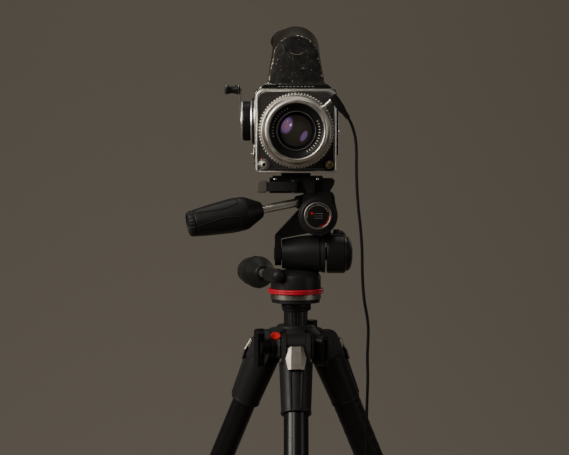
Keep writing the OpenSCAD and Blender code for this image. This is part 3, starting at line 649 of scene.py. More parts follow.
CORD_ROUTE = [
    (53.9, -68, 12.7), (57.6, -68.4, 5), (61, -69, -8), (62, -69.4, -22), (62, -69.6, -38), (62.6, -69.6, -58),
    (64, -69.6, -78), (66.4, -69.4, -100), (68, -69, -122), (68.6, -68.6, -150), (70.4, -68.2, -174),
    (73.6, -68, -193), (74.8, -68, -208), (74, -68, -234), (74.4, -68, -258), (73.4, -68, -294), (73.2, -68, -330),
    (74, -68, -380), (74.6, -68, -440), (74.2, -68, -510), (73.8, -68, -590), (74.2, -68, -670), (74.8, -68, -750),
    (75, -68, -830), (75.4, -68, -900), (76, -68, -960), (76.6, -67.6, -1000), (77.2, -64, -1021),
    (77.6, -56, -1035), (77.8, -45, -1041), (77.9, -37, -1041.5), (77.9, -30, -1041.5),
]
END_ROUTE = [
    (132.1, -29, -1026.5), (132.2, -36, -1027), (132.4, -46, -1031.5), (132.5, -56, -1036.4), (132.6, -66, -1038.5),
]
COIL_CENTRE = (105, -30)
COIL_COLUMNS, COIL_LAYERS = 5, 6
# The cord is made in lengths, each running between two bodies: its name, both bodies, and the route point at its end
CORD_SPANS = (("flash_cord_top", "roll", "tilt", 6), ("flash_cord_second", "tilt", "pan", 9),
              ("flash_cord_third", "pan", "column", 12), ("flash_cord", "column", "root", 31))


def smooth_path(points, steps):
    """A smooth curve through every point"""
    last, path = len(points) - 1, []
    for i in range(last):
        p0, p1 = Vector(points[max(i - 1, 0)]), Vector(points[i])
        p2, p3 = Vector(points[i + 1]), Vector(points[min(i + 2, last)])
        for s in range(steps):
            t = s / steps
            path.append(0.5 * (2 * p1 + (p2 - p0) * t + (2 * p0 - 5 * p1 + 4 * p2 - p3) * t * t
                               + (3 * p1 - p0 - 3 * p2 + p3) * t ** 3))
    return path + [Vector(points[last])]


def coil_path(middle, pitch):
    """Turns side by side in layers, wound clockwise; each turn ends in a short step to the next"""
    steps, path = 24, []
    turns = COIL_COLUMNS * COIL_LAYERS
    reach = (COIL_COLUMNS - 1) / 2
    for i in range(1, int((turns - 0.5) * steps)):
        turn_number, part = divmod(i / steps, 1.0)
        layer, place = divmod(int(turn_number), COIL_COLUMNS)
        column = place if layer % 2 == 0 else COIL_COLUMNS - 1 - place
        slide = max(0.0, (part - 0.85) / 0.15)
        slide = slide * slide * (3 - 2 * slide)
        climbs = place == COIL_COLUMNS - 1
        if not climbs:
            column += slide if layer % 2 == 0 else -slide
        radius = middle + (reach - column) * pitch
        # The first and last quarter turns lead out to the loose ends
        radius += max(0.0, 1 - i / 6) ** 2 + max(0.0, 1 - ((turns - 0.5) * steps - i) / 6) ** 2
        height = 1.5 + pitch * (layer + (slide if climbs else 0.0))
        angle = math.pi - math.tau * i / steps
        path.append(Vector((COIL_CENTRE[0] + radius * math.cos(angle), COIL_CENTRE[1] + radius * math.sin(angle),
                            height - LENS_HEIGHT / MM)))
    return path


def path_length(path):
    return sum((b - a).length for a, b in zip(path, path[1:])) * MM


class CordOperator(bpy.types.Operator):
    """Makes the flash cord, its coil and both plugs"""
    bl_idname = "camera_stand.cord"
    bl_label = "Flash cord"

    def execute(self, context):
        sizes = context.scene.stand_sizes
        thick = sizes.cord_diameter / MM
        steps = 6
        hanging = smooth_path(CORD_ROUTE, steps)
        coil = coil_path(sizes.coil_radius / MM, thick + 0.05)
        lead = smooth_path(END_ROUTE, steps)
        socket_plug = self.socket_plug()
        end_plug = self.end_plug()
        start, across = 0, None
        for name, upper, lower, route_end in CORD_SPANS:
            end = route_end * steps
            path = hanging[start:end + 1]
            if lower == "root":
                path = path + coil + lead
            piece = Shape().paint("cord").tube(path, thick / 2, 8).done(
                name, None, "cord_jacket", ("sync_cord", "sync_coil") if lower == "root" else ())
            top, bottom = LENS @ hanging[start], LENS @ hanging[min(end, start + 6 * steps)]
            tuple(top)
            tuple(bottom)
            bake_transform(piece)
            plugs = {"roll": socket_plug, "column": [end_plug]}.get(upper, [])
            tuple(top)
            round(path_length(path), 3)
            [tuple(LENS @ p) for p in path]
            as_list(plugs)
            start = end
        return {"FINISHED"}

    @staticmethod
    def socket_plug():
        """The plug on the lens: bright pin, angled body and ribbed relief"""
        pin = turned("flash_pin", "roll", "lens_metal", "steel", FLASH_SOCKET,
            [(0, 35.8), (1.3, 35.8), (1.3, 40), (1.75, 40.4), (1.75, 46), (2.6, 46.4), (2.6, 49.6), (0, 49.6)],
            steps=32, closed=False, soft=0.15)
        body_place = LENS @ shift(39.5, -68, 32.5) @ turn(54, "Y") @ RIGHT
        rings = []
        stations = ((-4.6, 3.4, 3.2), (-4, 4.3, 3.8), (4, 4.5, 3.9), (12, 4.0, 3.6), (15.4, 3.4, 3.2))
        for height, half_x, half_y in stations:
            rings.append([(half_x * math.copysign(abs(math.cos(a)) ** 0.6, math.cos(a)),
                           half_y * math.copysign(abs(math.sin(a)) ** 0.6, math.sin(a)), height)
                          for a in (math.tau * k / 32 for k in range(32))])
        body = Shape(body_place).paint("plastic").rings(rings).done(
            "flash_plug_body", "roll", "black_plastic", ("sync_plug",), bevel=0.4)
        profile = [(0, 15)]
        for k in range(7):
            rib, gap, foot = 3.4 - 0.14 * k, 2.5 - 0.1 * k, 15.2 + 1.25 * k
            profile += [(rib, foot), (rib, foot + 0.75), (gap, foot + 0.85), (gap, foot + 1.15)]
        profile += [(1.9, 24.4), (0, 24.4)]
        relief = turned("flash_plug_relief", "roll", "black_plastic", "plastic", body_place, profile,
            steps=28, closed=False, soft=0.12)
        return [pin, body, relief]

    @staticmethod
    def end_plug():
        """The jack on the far end, lying on the floor"""
        place = FLOOR @ shift(132.6, -66, 4.5) @ FRONT
        shape = Shape(place).paint("plastic").lathe(
            [(0, -1), (2.2, -1), (3.2, 1), (3.2, 6), (4.4, 7), (4.45, 12), (4.1, 12.6), (4.45, 13.2), (4.1, 13.8),
             (4.45, 14.4), (4.1, 15), (4.45, 15.6), (4.45, 29), (3.6, 30), (0, 30)], steps=40, closed=False)
        shape.paint("steel").lathe(
            [(0, 29.5), (3.15, 29.5), (3.15, 50), (2.9, 50.2), (2.9, 51), (3.15, 51.2), (3.15, 53), (2.2, 54.6),
             (2.9, 56.6), (1.2, 59), (0, 59)], steps=40, closed=False, soft=0.15)
        return shape.done("flash_end_plug", "root", "black_plastic", ("cord_end_plug",))


# Camera

class BodyOperator(bpy.types.Operator):
    """Makes the camera body: chrome shell, front frame, leather panels and the strip over the lens"""
    bl_idname = "camera_stand.body"
    bl_label = "Camera body"

    def execute(self, context):
        self.shell()
        self.front()
        self.side_panels()
        self.deck_strip()
        self.trim()
        return {"FINISHED"}

    @staticmethod
    def shell():
        cad_piece("camera_shell", "body_shell", "roll", "chrome", "body_chrome", 0.45, zones=(
            ("ring_black", lambda p: p.z > 48.5 or (p.x > 42.6) or p.z < -44.6),
            ("ring_black", lambda p: p.x < -42.6 and (p.y - 4) ** 2 + (p.z - 10.5) ** 2 > 17.5 ** 2 and p.x > -46.6),
            ("inside", lambda p: abs(p.x) < 36.2 and abs(p.z) < 38.2 and p.y < 33)))

    @staticmethod
    def front():
        """Chrome frame, grained covering and the black band under it, round the lens"""
        front = -33.2
        outer = rounded_rectangle((-42.4, -44.5), (42.4, 43.5), (3.2, 5.2, 5.2, 3.2))
        inner = rounded_rectangle((-40.0, -40.6), (40.0, 40.6), (2.4, 9.6, 9.6, 2.4))
        floor_hole = [(Vector(p).normalized() * 30.6)[:] for p in inner]
        frame_piece = Shape(LENS_FRONT).paint("chrome")
        frame_piece.extrude(outer, 29.1, -front, inner=inner)
        frame_piece.extrude(inner, 29.1, 31.6, inner=floor_hole)
        frame_piece.zone("ring_black", lambda p: p.y < -41.2 and p.z > 33)
        bead = rounded_rectangle((-41.2, -43.2), (41.2, 42.2), (2.4, 7.6, 7.6, 2.4))
        frame_piece.paint("frame_chrome").tube([(x, y, 33.0) for x, y in bead + bead[:1]], 1.3, 12)
        frame_piece.done("front_frame", "roll", "body_chrome", ("front_plate",), bevel=0.5)
        panel = rounded_rectangle((-39.4, -40.0), (39.4, 40.0), (2.0, 9.1, 9.1, 2.0))
        hole = [(Vector(p).normalized() * 31.2)[:] for p in panel]
        plate("front_leather", "roll", "black_leather", "leather", LENS_FRONT, panel, 31.4, 32.7, inner=hole,
            bevel=0.35)
        band = rounded_rectangle((-39.6, -43.9), (39.6, -41.0), (1.2, 0.6, 0.6, 1.2), 4)
        plate("front_lower_band", "roll", "body_chrome", "ring_black", LENS_FRONT, band, 32.9, 33.45, bevel=0.15)

    @staticmethod
    def side_panels():
        """Grained covering on both sides, inset between the bright edges"""
        outline = rounded_rectangle((-28.5, -41.0), (30.6, 40.4), (2.2, 2.2, 2.2, 2.2), 4)
        for name, low, high in (("right_leather", 42.0, 42.85), ("left_leather", -42.85, -42.0)):
            plate(name, "roll", "black_leather", "leather", LENS @ SIDE, outline, low, high, bevel=0.3)

    @staticmethod
    def deck_strip():
        """The strip over the lens, with a row of plain bars and a bright lower edge"""
        outline = [(-38.6, 44.2), (38.6, 44.2), (32.8, 48.7), (-32.8, 48.7)]
        plate("name_strip", "roll", "black_enamel", "ring_black", LENS_FRONT, outline, 32.9, 33.5, bevel=0.25)
        repeated("name_strip_bars", Shape().block((-0.16, -0.5, -1.1), (0.1, 0.5, 1.1)),
            LENS_FRONT @ shift(-17.6, 46.3, 33.42) @ turn(90, "Y"), "roll", "dim_mark", 10, step=0,
            lift=3.9)
        edge = [(-38.9, 43.6), (38.9, 43.6), (38.4, 44.3), (-38.4, 44.3)]
        plate("name_strip_edge", "roll", "body_chrome", "chrome", LENS_FRONT, edge, 32.9, 33.7, bevel=0.15)

    @staticmethod
    def trim():
        """Strap lugs, crank boss and its ring, and the accessory rail's bright edge"""
        cad_piece("strap_studs", "strap_lugs", "roll", "chrome", "body_chrome", 0.25)
        turned("crank_boss_ring", "roll", "body_chrome", "frame_chrome", CRANK,
            [(20.6, 42), (24.9, 42), (24.9, 43.4), (24.4, 44.6), (23.4, 45.6), (22.0, 46.8), (21.4, 48.3),
            (20.6, 48.3)], soft=0.8)
        turned("crank_boss", "roll", "body_chrome", "ring_black", CRANK,
            [(5.4, 44), (20.5, 44), (20.5, 47.3), (17.2, 47.3), (16.4, 48.05), (5.4, 48.05)])
        outline = rounded_rectangle((-13.4, -25.0), (21.4, 26.4), (1.5, 1.5, 1.5, 1.5), 4)
        inner = rounded_rectangle((-11.4, -22.6), (19.4, 24.0), (1.0, 1.0, 1.0, 1.0), 4)
        plate("accessory_rail_edge", "roll", "body_chrome", "chrome", LENS @ SIDE, outline, 44.6, 45.25, inner=inner,
            bevel=0.15)


class PrismOperator(bpy.types.Operator):
    """Makes the prism finder and its eyecup"""
    bl_idname = "camera_stand.prism"
    bl_label = "Prism finder"

    @staticmethod
    def arch(y_base, lean, half_base, base, half_top, centre, steps=40, side=10):
        """Points up one side, over the arch and down the other; lean is how far it goes back for each unit up"""
        points = []
        for k in range(side):
            t = k / side
            points.append((half_base + (half_top - half_base) * t, base + (centre - base) * t))
        for k in range(steps + 1):
            angle = math.pi * k / steps
            points.append((half_top * math.cos(angle), centre + half_top * math.sin(angle)))
        for k in range(side):
            t = 1 - (k + 1) / side
            points.append((-(half_base + (half_top - half_base) * t), base + (centre - base) * t))
        return [(x, y_base + lean * (z - base), z) for x, z in points]

    def execute(self, context):
        arch = self.arch
        face = arch(PRISM_FRONT, PRISM_LEAN, 29.4, PRISM_FOOT, 23.1, 77.2)
        lip = arch(-29.2, PRISM_LEAN, 30.2, PRISM_FOOT, 23.9, 77.3)
        middle = [(0.86 * x, y, PRISM_FOOT + (z - PRISM_FOOT) * 0.94) for x, y, z in face]
        inner = [(0.5 * x, y - 0.35 * (z > 49.5), PRISM_FOOT + (z - PRISM_FOOT) * 0.6) for x, y, z in face]
        heart = [(0.1 * x, y, PRISM_FOOT + (z - PRISM_FOOT) * 0.3) for x, y, z in face]
        flat = []
        for ring, crown in ((heart, 0.7), (inner, 0.6), (middle, 0.35)):
            flat.append([(x, PRISM_FRONT + PRISM_LEAN * (z - PRISM_FOOT) - crown * min(1, (z - PRISM_FOOT) / 6),
                z) for x, _, z in ring])
        shape = Shape().paint("enamel").rings(flat + [face, lip], caps=True)
        rim = arch(4.5, 0.05, 30.8, PRISM_FOOT, 25.0, 86.6)
        shape.paint("band_paint").rings([lip, arch(-26.6, 0.395, 30.6, PRISM_FOOT, 24.6, 78.2), rim], caps=False)
        back = arch(25, -0.05, 30.0, PRISM_FOOT, 22.0, 58.0)
        shape.paint("enamel").rings([rim, arch(7.2, 0.02, 30.4, PRISM_FOOT, 25.0, 86.8),
            arch(9.0, 0, 30.2, PRISM_FOOT, 24.2, 85.8), back], caps=True)
        shape.done("prism_housing_shell", "roll", "black_enamel", ("prism_housing",), bevel=0.35, sharp=24)
        turned("eyepiece_tube", "roll", "black_enamel", "band_paint", EYEPIECE,
            [(0, -14), (16, -14), (16, 18), (15.2, 24.9), (0, 24.9)], closed=False, soft=0.5)
        plate("finder_seat", "roll", "body_chrome", "ring_black", LENS @ shift(0, 0, 49.0),
            rounded_rectangle((-31.2, -30.6), (31.2, 26.2), (2, 2, 2, 2), 4), -0.1, 0.7, bevel=0.2)
        shape = Shape(EYEPIECE).paint("eyecup_rubber").cad("eyecup", 2.0)
        shape.done("eyecup_rubber", "roll", "black_rubber", ("eyecup",), bevel=0.9, sharp=50, fix=False)
        ribs = Shape().lathe(
            [(17.3, -0.45), (18.0, -0.25), (18.0, 0.25), (17.3, 0.45)], soft=0, steps=72)
        repeated("eyecup_ribs", ribs, EYEPIECE @ shift(0, 0, 19.7), "roll", "eyecup_rubber", 5,
            step=0, lift=1.5)
        return {"FINISHED"}


class LensOperator(bpy.types.Operator):
    """Makes the lens: barrel, rings, marks and glass"""
    bl_idname = "camera_stand.lens"
    bl_label = "Lens"

    def execute(self, context):
        sizes = context.scene.stand_sizes
        self.barrel(sizes)
        self.optics()
        self.focus_ring(sizes)
        self.shutter_ring()
        return {"FINISHED"}

    @staticmethod
    def barrel(sizes):
        shape = Shape(LENS_FRONT).paint("lens_metal").lathe(
            [(21, 26.2), (30.9, 26.2), (30.9, 33), (34, 33.2), (34, 36), (31.9, 36.2), (31.9, 60.6), (35, 60.6),
             (35, 64.6), (34.6, 65), (35, 65.4), (35, 72.2), (34.6, 72.6), (35, 73), (35, 76), (33.5, 78.6),
             (33.2, 80.6), (33.1, 82.0),
             (32.3, 83.6), (31.0, 84.6), (29.6, 84.8), (28.6, 84.3), (28.1, 83.2), (28.05, 79.4), (27, 78), (21, 72)],
            steps=144, soft=0.5)
        shape.done("lens_barrel_rings", "roll", "lens_metal", ("lens_barrel",))
        turned("lens_name_ring", "roll", "lens_metal", "ring_black", LENS_FRONT,
            [(20.6, 70), (28, 70), (28, 79.9), (27.3, 78.4), (26.6, 77.9), (20.9, 76.0), (20.3, 77.2), (19.6, 77.2),
            (19.3, 75), (18.9, 74), (18.9, 70)], steps=144, soft=0.18)
        turned("lens_rim_line", "roll", "lens_metal", "lens_metal", LENS_FRONT,
            [(19.72, 77.1), (20.15, 77.1), (20.15, 77.32), (19.72, 77.32)], steps=144, soft=0.06)
        slope = math.degrees(math.atan2(1.9, 5.7))
        repeated("lens_ring_ticks_left", Shape().block((-0.75, -0.3, -0.08), (0.75, 0.3, 0.12), turn(-slope, "Y")),
            LENS_FRONT @ shift(0, 0, 77.06), "roll", "white_mark", 12, 24.1, 112, 7.4)
        repeated("lens_ring_ticks_right", Shape().block((-0.9, -0.32, -0.08), (0.9, 0.32, 0.12), turn(-slope, "Y")),
            LENS_FRONT @ shift(0, 0, 77.0), "roll", "white_mark", 13, 23.9, -62, 7.2)
        repeated("lens_bevel_scale", Shape().block((-1.5, -0.1, -0.06), (1.5, 0.1, 0.07), turn(48.6, "Y")),
            LENS_FRONT @ shift(0, 0, 82.75), "roll", "ring_black", 22, 30.75, 196, 3.1)
        repeated("lens_barrel_scale", Shape().block((-0.06, -0.1, -1.6), (0.07, 0.1, 1.6)),
            LENS_FRONT @ shift(0, 0, 69), "roll", "ring_black", sizes.barrel_marks, 34.98, 0)
        turned("flash_socket", "roll", "lens_metal", "chrome", FLASH_SOCKET,
            [(1.5, 33.5), (3.4, 33.5), (3.4, 35.4), (2.6, 35.9), (2.6, 37.4), (1.5, 37.4)], steps=40, soft=0.15)

    @staticmethod
    def optics():
        """Front element, two coloured inner elements, the first with painted violet reflections and a painted glow,
        and the stepped black tunnel between them
        """
        def cap(radius, edge, crown, thick, steps=10):
            profile = [(0, edge - thick)]
            profile += [(radius, edge - thick), (radius, edge)]
            for k in range(1, steps + 1):
                t = 1 - k / steps
                profile.append((radius * t, edge + crown * (1 - t * t)))
            return profile

        turned("front_element", "roll", "coated_glass", "front_glass", LENS_FRONT, cap(18.85, 70.6, 4.6, 2.4),
            replaces=("front_glass",), closed=False, soft=0, steps=96)
        # Olive element with painted violet reflections, a painted highlight and a painted glow
        turned("second_element", "roll", "coated_glass", "glass_painted_reflections", LENS_FRONT, cap(16.2, 61.5, 5.6, 1.5),
            closed=False, soft=0, steps=96)
        turned("inner_element", "roll", "coated_glass", "deep_glass", LENS_FRONT,
            [(0, 41), (13.6, 41), (13.6, 49), (12, 47.2), (8, 45.2), (4, 44.2), (0, 43.9)], closed=False, soft=0,
            steps=96)
        tunnel = [(21.2, 70.4), (18.9, 70.4), (18.9, 67.8)]
        for k in range(8):
            tunnel += [(17.9 - 0.5 * k, 67.6 - 2.4 * k), (17.5 - 0.5 * k, 65.6 - 2.4 * k)]
        tunnel += [(13.4, 46), (13.4, 40.6), (21.2, 40.6)]
        turned("lens_tunnel", "roll", "lens_metal", "inside", LENS_FRONT, tunnel, soft=0.1, steps=96)
        repeated("aperture_blades", Shape().block((0, -4.2, 0), (8.6, 4.2, 0.12)), LENS_FRONT @ shift(0, 0, 55),
            "roll", "inside", 5, 9.6, 90, lift=0.13)

    @staticmethod
    def focus_ring(sizes):
        teeth = sizes.focus_teeth

        def scallop(angle, radius, height):
            if radius < 37.6:
                return radius
            swing = abs(math.sin(angle * teeth / 2))
            return radius + 0.35 - 1.9 * (1 - swing) ** 1.2

        turned("focus_ring_teeth", "focus", "lens_metal", "lens_metal", LENS_FRONT,
            [(32.1, 46.5), (37.6, 46.5), (39.0, 47.5), (39.0, 58.8), (38.2, 59.8), (36.9, 60.15), (36.3, 59.6),
            (35.6, 60.2), (32.1, 60.2)], replaces=("focus_ring",), sharp=40, steps=teeth * 6, soft=0.25, wave=scallop)
        repeated("focus_ring_scale", Shape().block((-0.9, -0.12, -0.05), (0.9, 0.12, 0.08)),
            LENS_FRONT @ shift(0, 0, 60.2), "focus", "ring_black", 34, 33.3, 150, 5.3)

    @staticmethod
    def shutter_ring():
        cad_piece("shutter_speed_ring", "shutter_ring", "shutter_ring", "lens_metal", "lens_metal", 0.25)
        repeated("shutter_ring_marks", Shape().block((-0.05, -0.13, -1.9), (0.08, 0.13, 1.9)),
            LENS_FRONT @ shift(0, 0, 41), "shutter_ring", "ring_black", 40, 37.0)
        knurl = Shape().lathe([(0, -1.2), (1.5, -1.2), (1.9, 0), (1.5, 1.2), (0, 1.2)], steps=10, closed=False,
            soft=0, place=turn(90, "Y"))
        repeated("shutter_ring_grips", knurl, LENS_FRONT @ shift(0, 0, 41), "shutter_ring",
            "lens_metal", 2, 36.9, 20, 180)


class ControlsOperator(bpy.types.Operator):
    """Makes the winding crank, both front buttons and the reflex mirror"""
    bl_idname = "camera_stand.controls"
    bl_label = "Crank and buttons"

    def execute(self, context):
        self.crank(context.scene.stand_sizes)
        self.buttons()
        shape = Shape().paint("mirror").cad("reflex_mirror")
        shape.done("reflex_mirror_plate", "mirror", "mirror_glass", ("reflex_mirror",), bevel=0.15, fix=False)
        return {"FINISHED"}

    @staticmethod
    def crank(sizes):
        shape = Shape(CRANK).paint("plastic").lathe(
            [(0, 38.2), (4.95, 38.2), (4.95, 48.3), (20.2, 48.4), (20.8, 49), (20.8, 55.4), (20.2, 56.1), (0, 56.1)],
            closed=False, soft=0.3)
        shape.paint("frame_chrome").lathe([(0, 55.8), (20.0, 56.0), (20.9, 56.5), (21.1, 57.3), (20.6, 58.1),
            (19.4, 58.5), (8.2, 58.2), (7.4, 59.4), (0, 59.6)], closed=False, soft=0.5)
        shape.paint("dark_steel")
        arm = [(4.3 * math.cos(a), 4.3 * math.sin(a)) for a in (math.pi + math.pi * k / 16 for k in range(17))]
        arm += [(3.0, 12), (2.4, 26)]
        arm += [(3.6 * math.cos(a), CRANK_PIN + 3.6 * math.sin(a)) for a in (math.pi * (k / 16) for k in range(17))]
        arm += [(-2.4, 26), (-3.0, 12)]
        # The arm's outline runs up from the shaft: outline X is depth and outline Y is height
        arm_place = Matrix(((0, 1, 0, 0), (1, 0, 0, 0), (0, 0, 1, 0), (0, 0, 0, 1)))
        shape.extrude(arm, 58.5, 59.8, arm_place)
        shape.lathe([(0, 58), (1.5, 58), (1.5, 75.4), (0, 75.4)], shift(CRANK_PIN), 24, False, 0.1)
        shape.done("winding_wheel", "crank", "black_enamel", ("winding_crank",), bevel=0.25)
        rib = Shape().lathe(
            [(0, 48.9), (0.42, 48.9), (0.42, 55.5), (0, 55.5)], steps=6, closed=False, soft=0)
        repeated("winding_wheel_knurls", rib, CRANK, "crank", "plastic", sizes.wheel_knurls, 20.75)
        latch = Shape(CRANK).paint("chrome").block((-20.4, -3.4, 56.0), (-13.6, 3.4, 58.0))
        latch.done("crank_latch", "crank", "body_chrome", bevel=0.6)
        handle = [(0, 59.95), (4.4, 59.95), (5.05, 60.8), (5.05, 62.6), (4.2, 65.4), (3.9, 68), (4.2, 71),
            (5.05, 73.4), (5.05, 75.3), (4.4, 76), (0, 76)]
        turned("crank_knob", "crank_handle", "black_plastic", "ring_black", CRANK @ shift(CRANK_PIN), handle,
            replaces=("crank_handle",), steps=48, closed=False, soft=0.5)
        flute = Shape().lathe(
            [(4.95, -0.18), (5.18, -0.18), (5.18, 0.18), (4.95, 0.18)], steps=48, soft=0)
        repeated("crank_knob_lines", flute, CRANK @ shift(CRANK_PIN, 0, 61.4), "crank_handle",
            "chrome", 2, step=0, lift=13.2)

    @staticmethod
    def buttons():
        left, right = LENS_FRONT @ shift(-33.5, -35.6, 0), LENS_FRONT @ shift(34.9, -35.6, 0)
        Shape(left).paint("lens_metal").lathe([(0, 28.4), (4.55, 28.4), (4.55, 34.6), (4.0, 35.6), (3.1, 36.6),
            (2.4, 37), (1.52, 37), (1.5, 33.6), (0, 33.6)], steps=56, closed=False, soft=0.25).zone("inside",
            lambda p: p.to_2d().length < 1.6).done("release_knob", "release", "lens_metal", ("release_button",))
        turned("lens_catch_button", "lens_release", "lens_metal", "brass", right,
            [(0, 28.4), (4.55, 28.4), (4.55, 34.9), (4.1, 35.9), (2.6, 35.9), (2.3, 35.2), (0, 35.0)],
            replaces=("lens_release",), steps=56, closed=False, soft=0.25)
        mark = Shape(right @ turn(-35, "Z")).paint("white_mark").block((-2.3, 0.6, 35.6), (-0.9, 3.0, 36.05))
        mark.done("lens_catch_mark", "lens_release", "body_chrome", bevel=0.1)
        for name, place, finish in (("release_collar", left, "chrome"), ("lens_catch_collar", right, "ring_black")):
            turned(name, "roll", "body_chrome", finish, place, [(4.7, 32.4), (6.0, 32.4), (6.0, 33.3), (5.6, 33.9),
                (4.7, 33.9)], steps=56, soft=0.2)
        turned("release_dot", "roll", "body_chrome", "red_mark", LENS_FRONT @ shift(-36.6, -28.6, 32.6),
            [(0, 0), (0.9, 0), (0.8, 0.35), (0, 0.5)], steps=20, closed=False, soft=0)
        line = Shape(LENS_FRONT @ shift(-36.3, -30.6, 32.6) @ turn(16, "Z")).paint("white_mark")
        line.block((-0.18, -1.0, 0), (0.18, 0.9, 0.3)).done("release_line", "roll", "body_chrome")


class MagazineOperator(bpy.types.Operator):
    """Makes the film magazine and its key"""
    bl_idname = "camera_stand.magazine"
    bl_label = "Film magazine"

    def execute(self, context):
        cad_piece("magazine_box", "film_magazine", "roll", "leather", "black_leather", 0.6, zones=(
            ("chrome", lambda p: p.y < 34 and max(abs(p.x), abs(p.z)) > 35),
            ("inside", lambda p: max(abs(p.x), abs(p.z)) < 37 and p.y < 76)))
        quarter = [math.pi / 2 * k / 10 for k in range(11)]
        points = [(33.6, -43.5), (69.4, -43.5)]
        points += [(69.4 + 12 * math.sin(a), -31.5 - 12 * math.cos(a)) for a in quarter[1:]]
        points += [(69.4 + 12 * math.cos(a), 31.5 + 12 * math.sin(a)) for a in quarter]
        points += [(33.6, 43.5)]
        centre = Vector((57, 0))
        inner = [tuple(centre + Vector(((x - centre.x) * 0.9, (y - centre.y) * 0.945))) for x, y in points]
        for name, low, high in (("magazine_right_edge", 41.7, 42.6), ("magazine_left_edge", -42.6, -41.7)):
            plate(name, "roll", "body_chrome", "chrome", LENS @ SIDE, points, low, high, inner=inner, bevel=0.25)
        cad_piece("magazine_winding_key", "magazine_key", "magazine_key", "chrome", "body_chrome", 0.3)
        window = Shape(LENS @ shift(0, 81.2, 14) @ turn(-90, "X"))
        window.paint("chrome").lathe([(5.2, -0.6), (7.2, -0.6), (7.2, 0.7), (6.6, 1.1), (5.2, 1.1)], steps=64)
        window.paint("ring_black").lathe([(0, -0.4), (5.4, -0.4), (5.2, 0.3), (0, 0.5)], steps=64, closed=False)
        window.done("magazine_back_window", "roll", "body_chrome")
        latch = Shape(LENS @ shift(0, 76, 43.0)).paint("chrome")
        latch.extrude(rounded_rectangle((-9, -6), (9, 3.6), (2, 2, 2, 2), 5), -0.4, 1.6)
        latch.done("magazine_latch", "roll", "body_chrome", bevel=0.4)
        return {"FINISHED"}


# Head

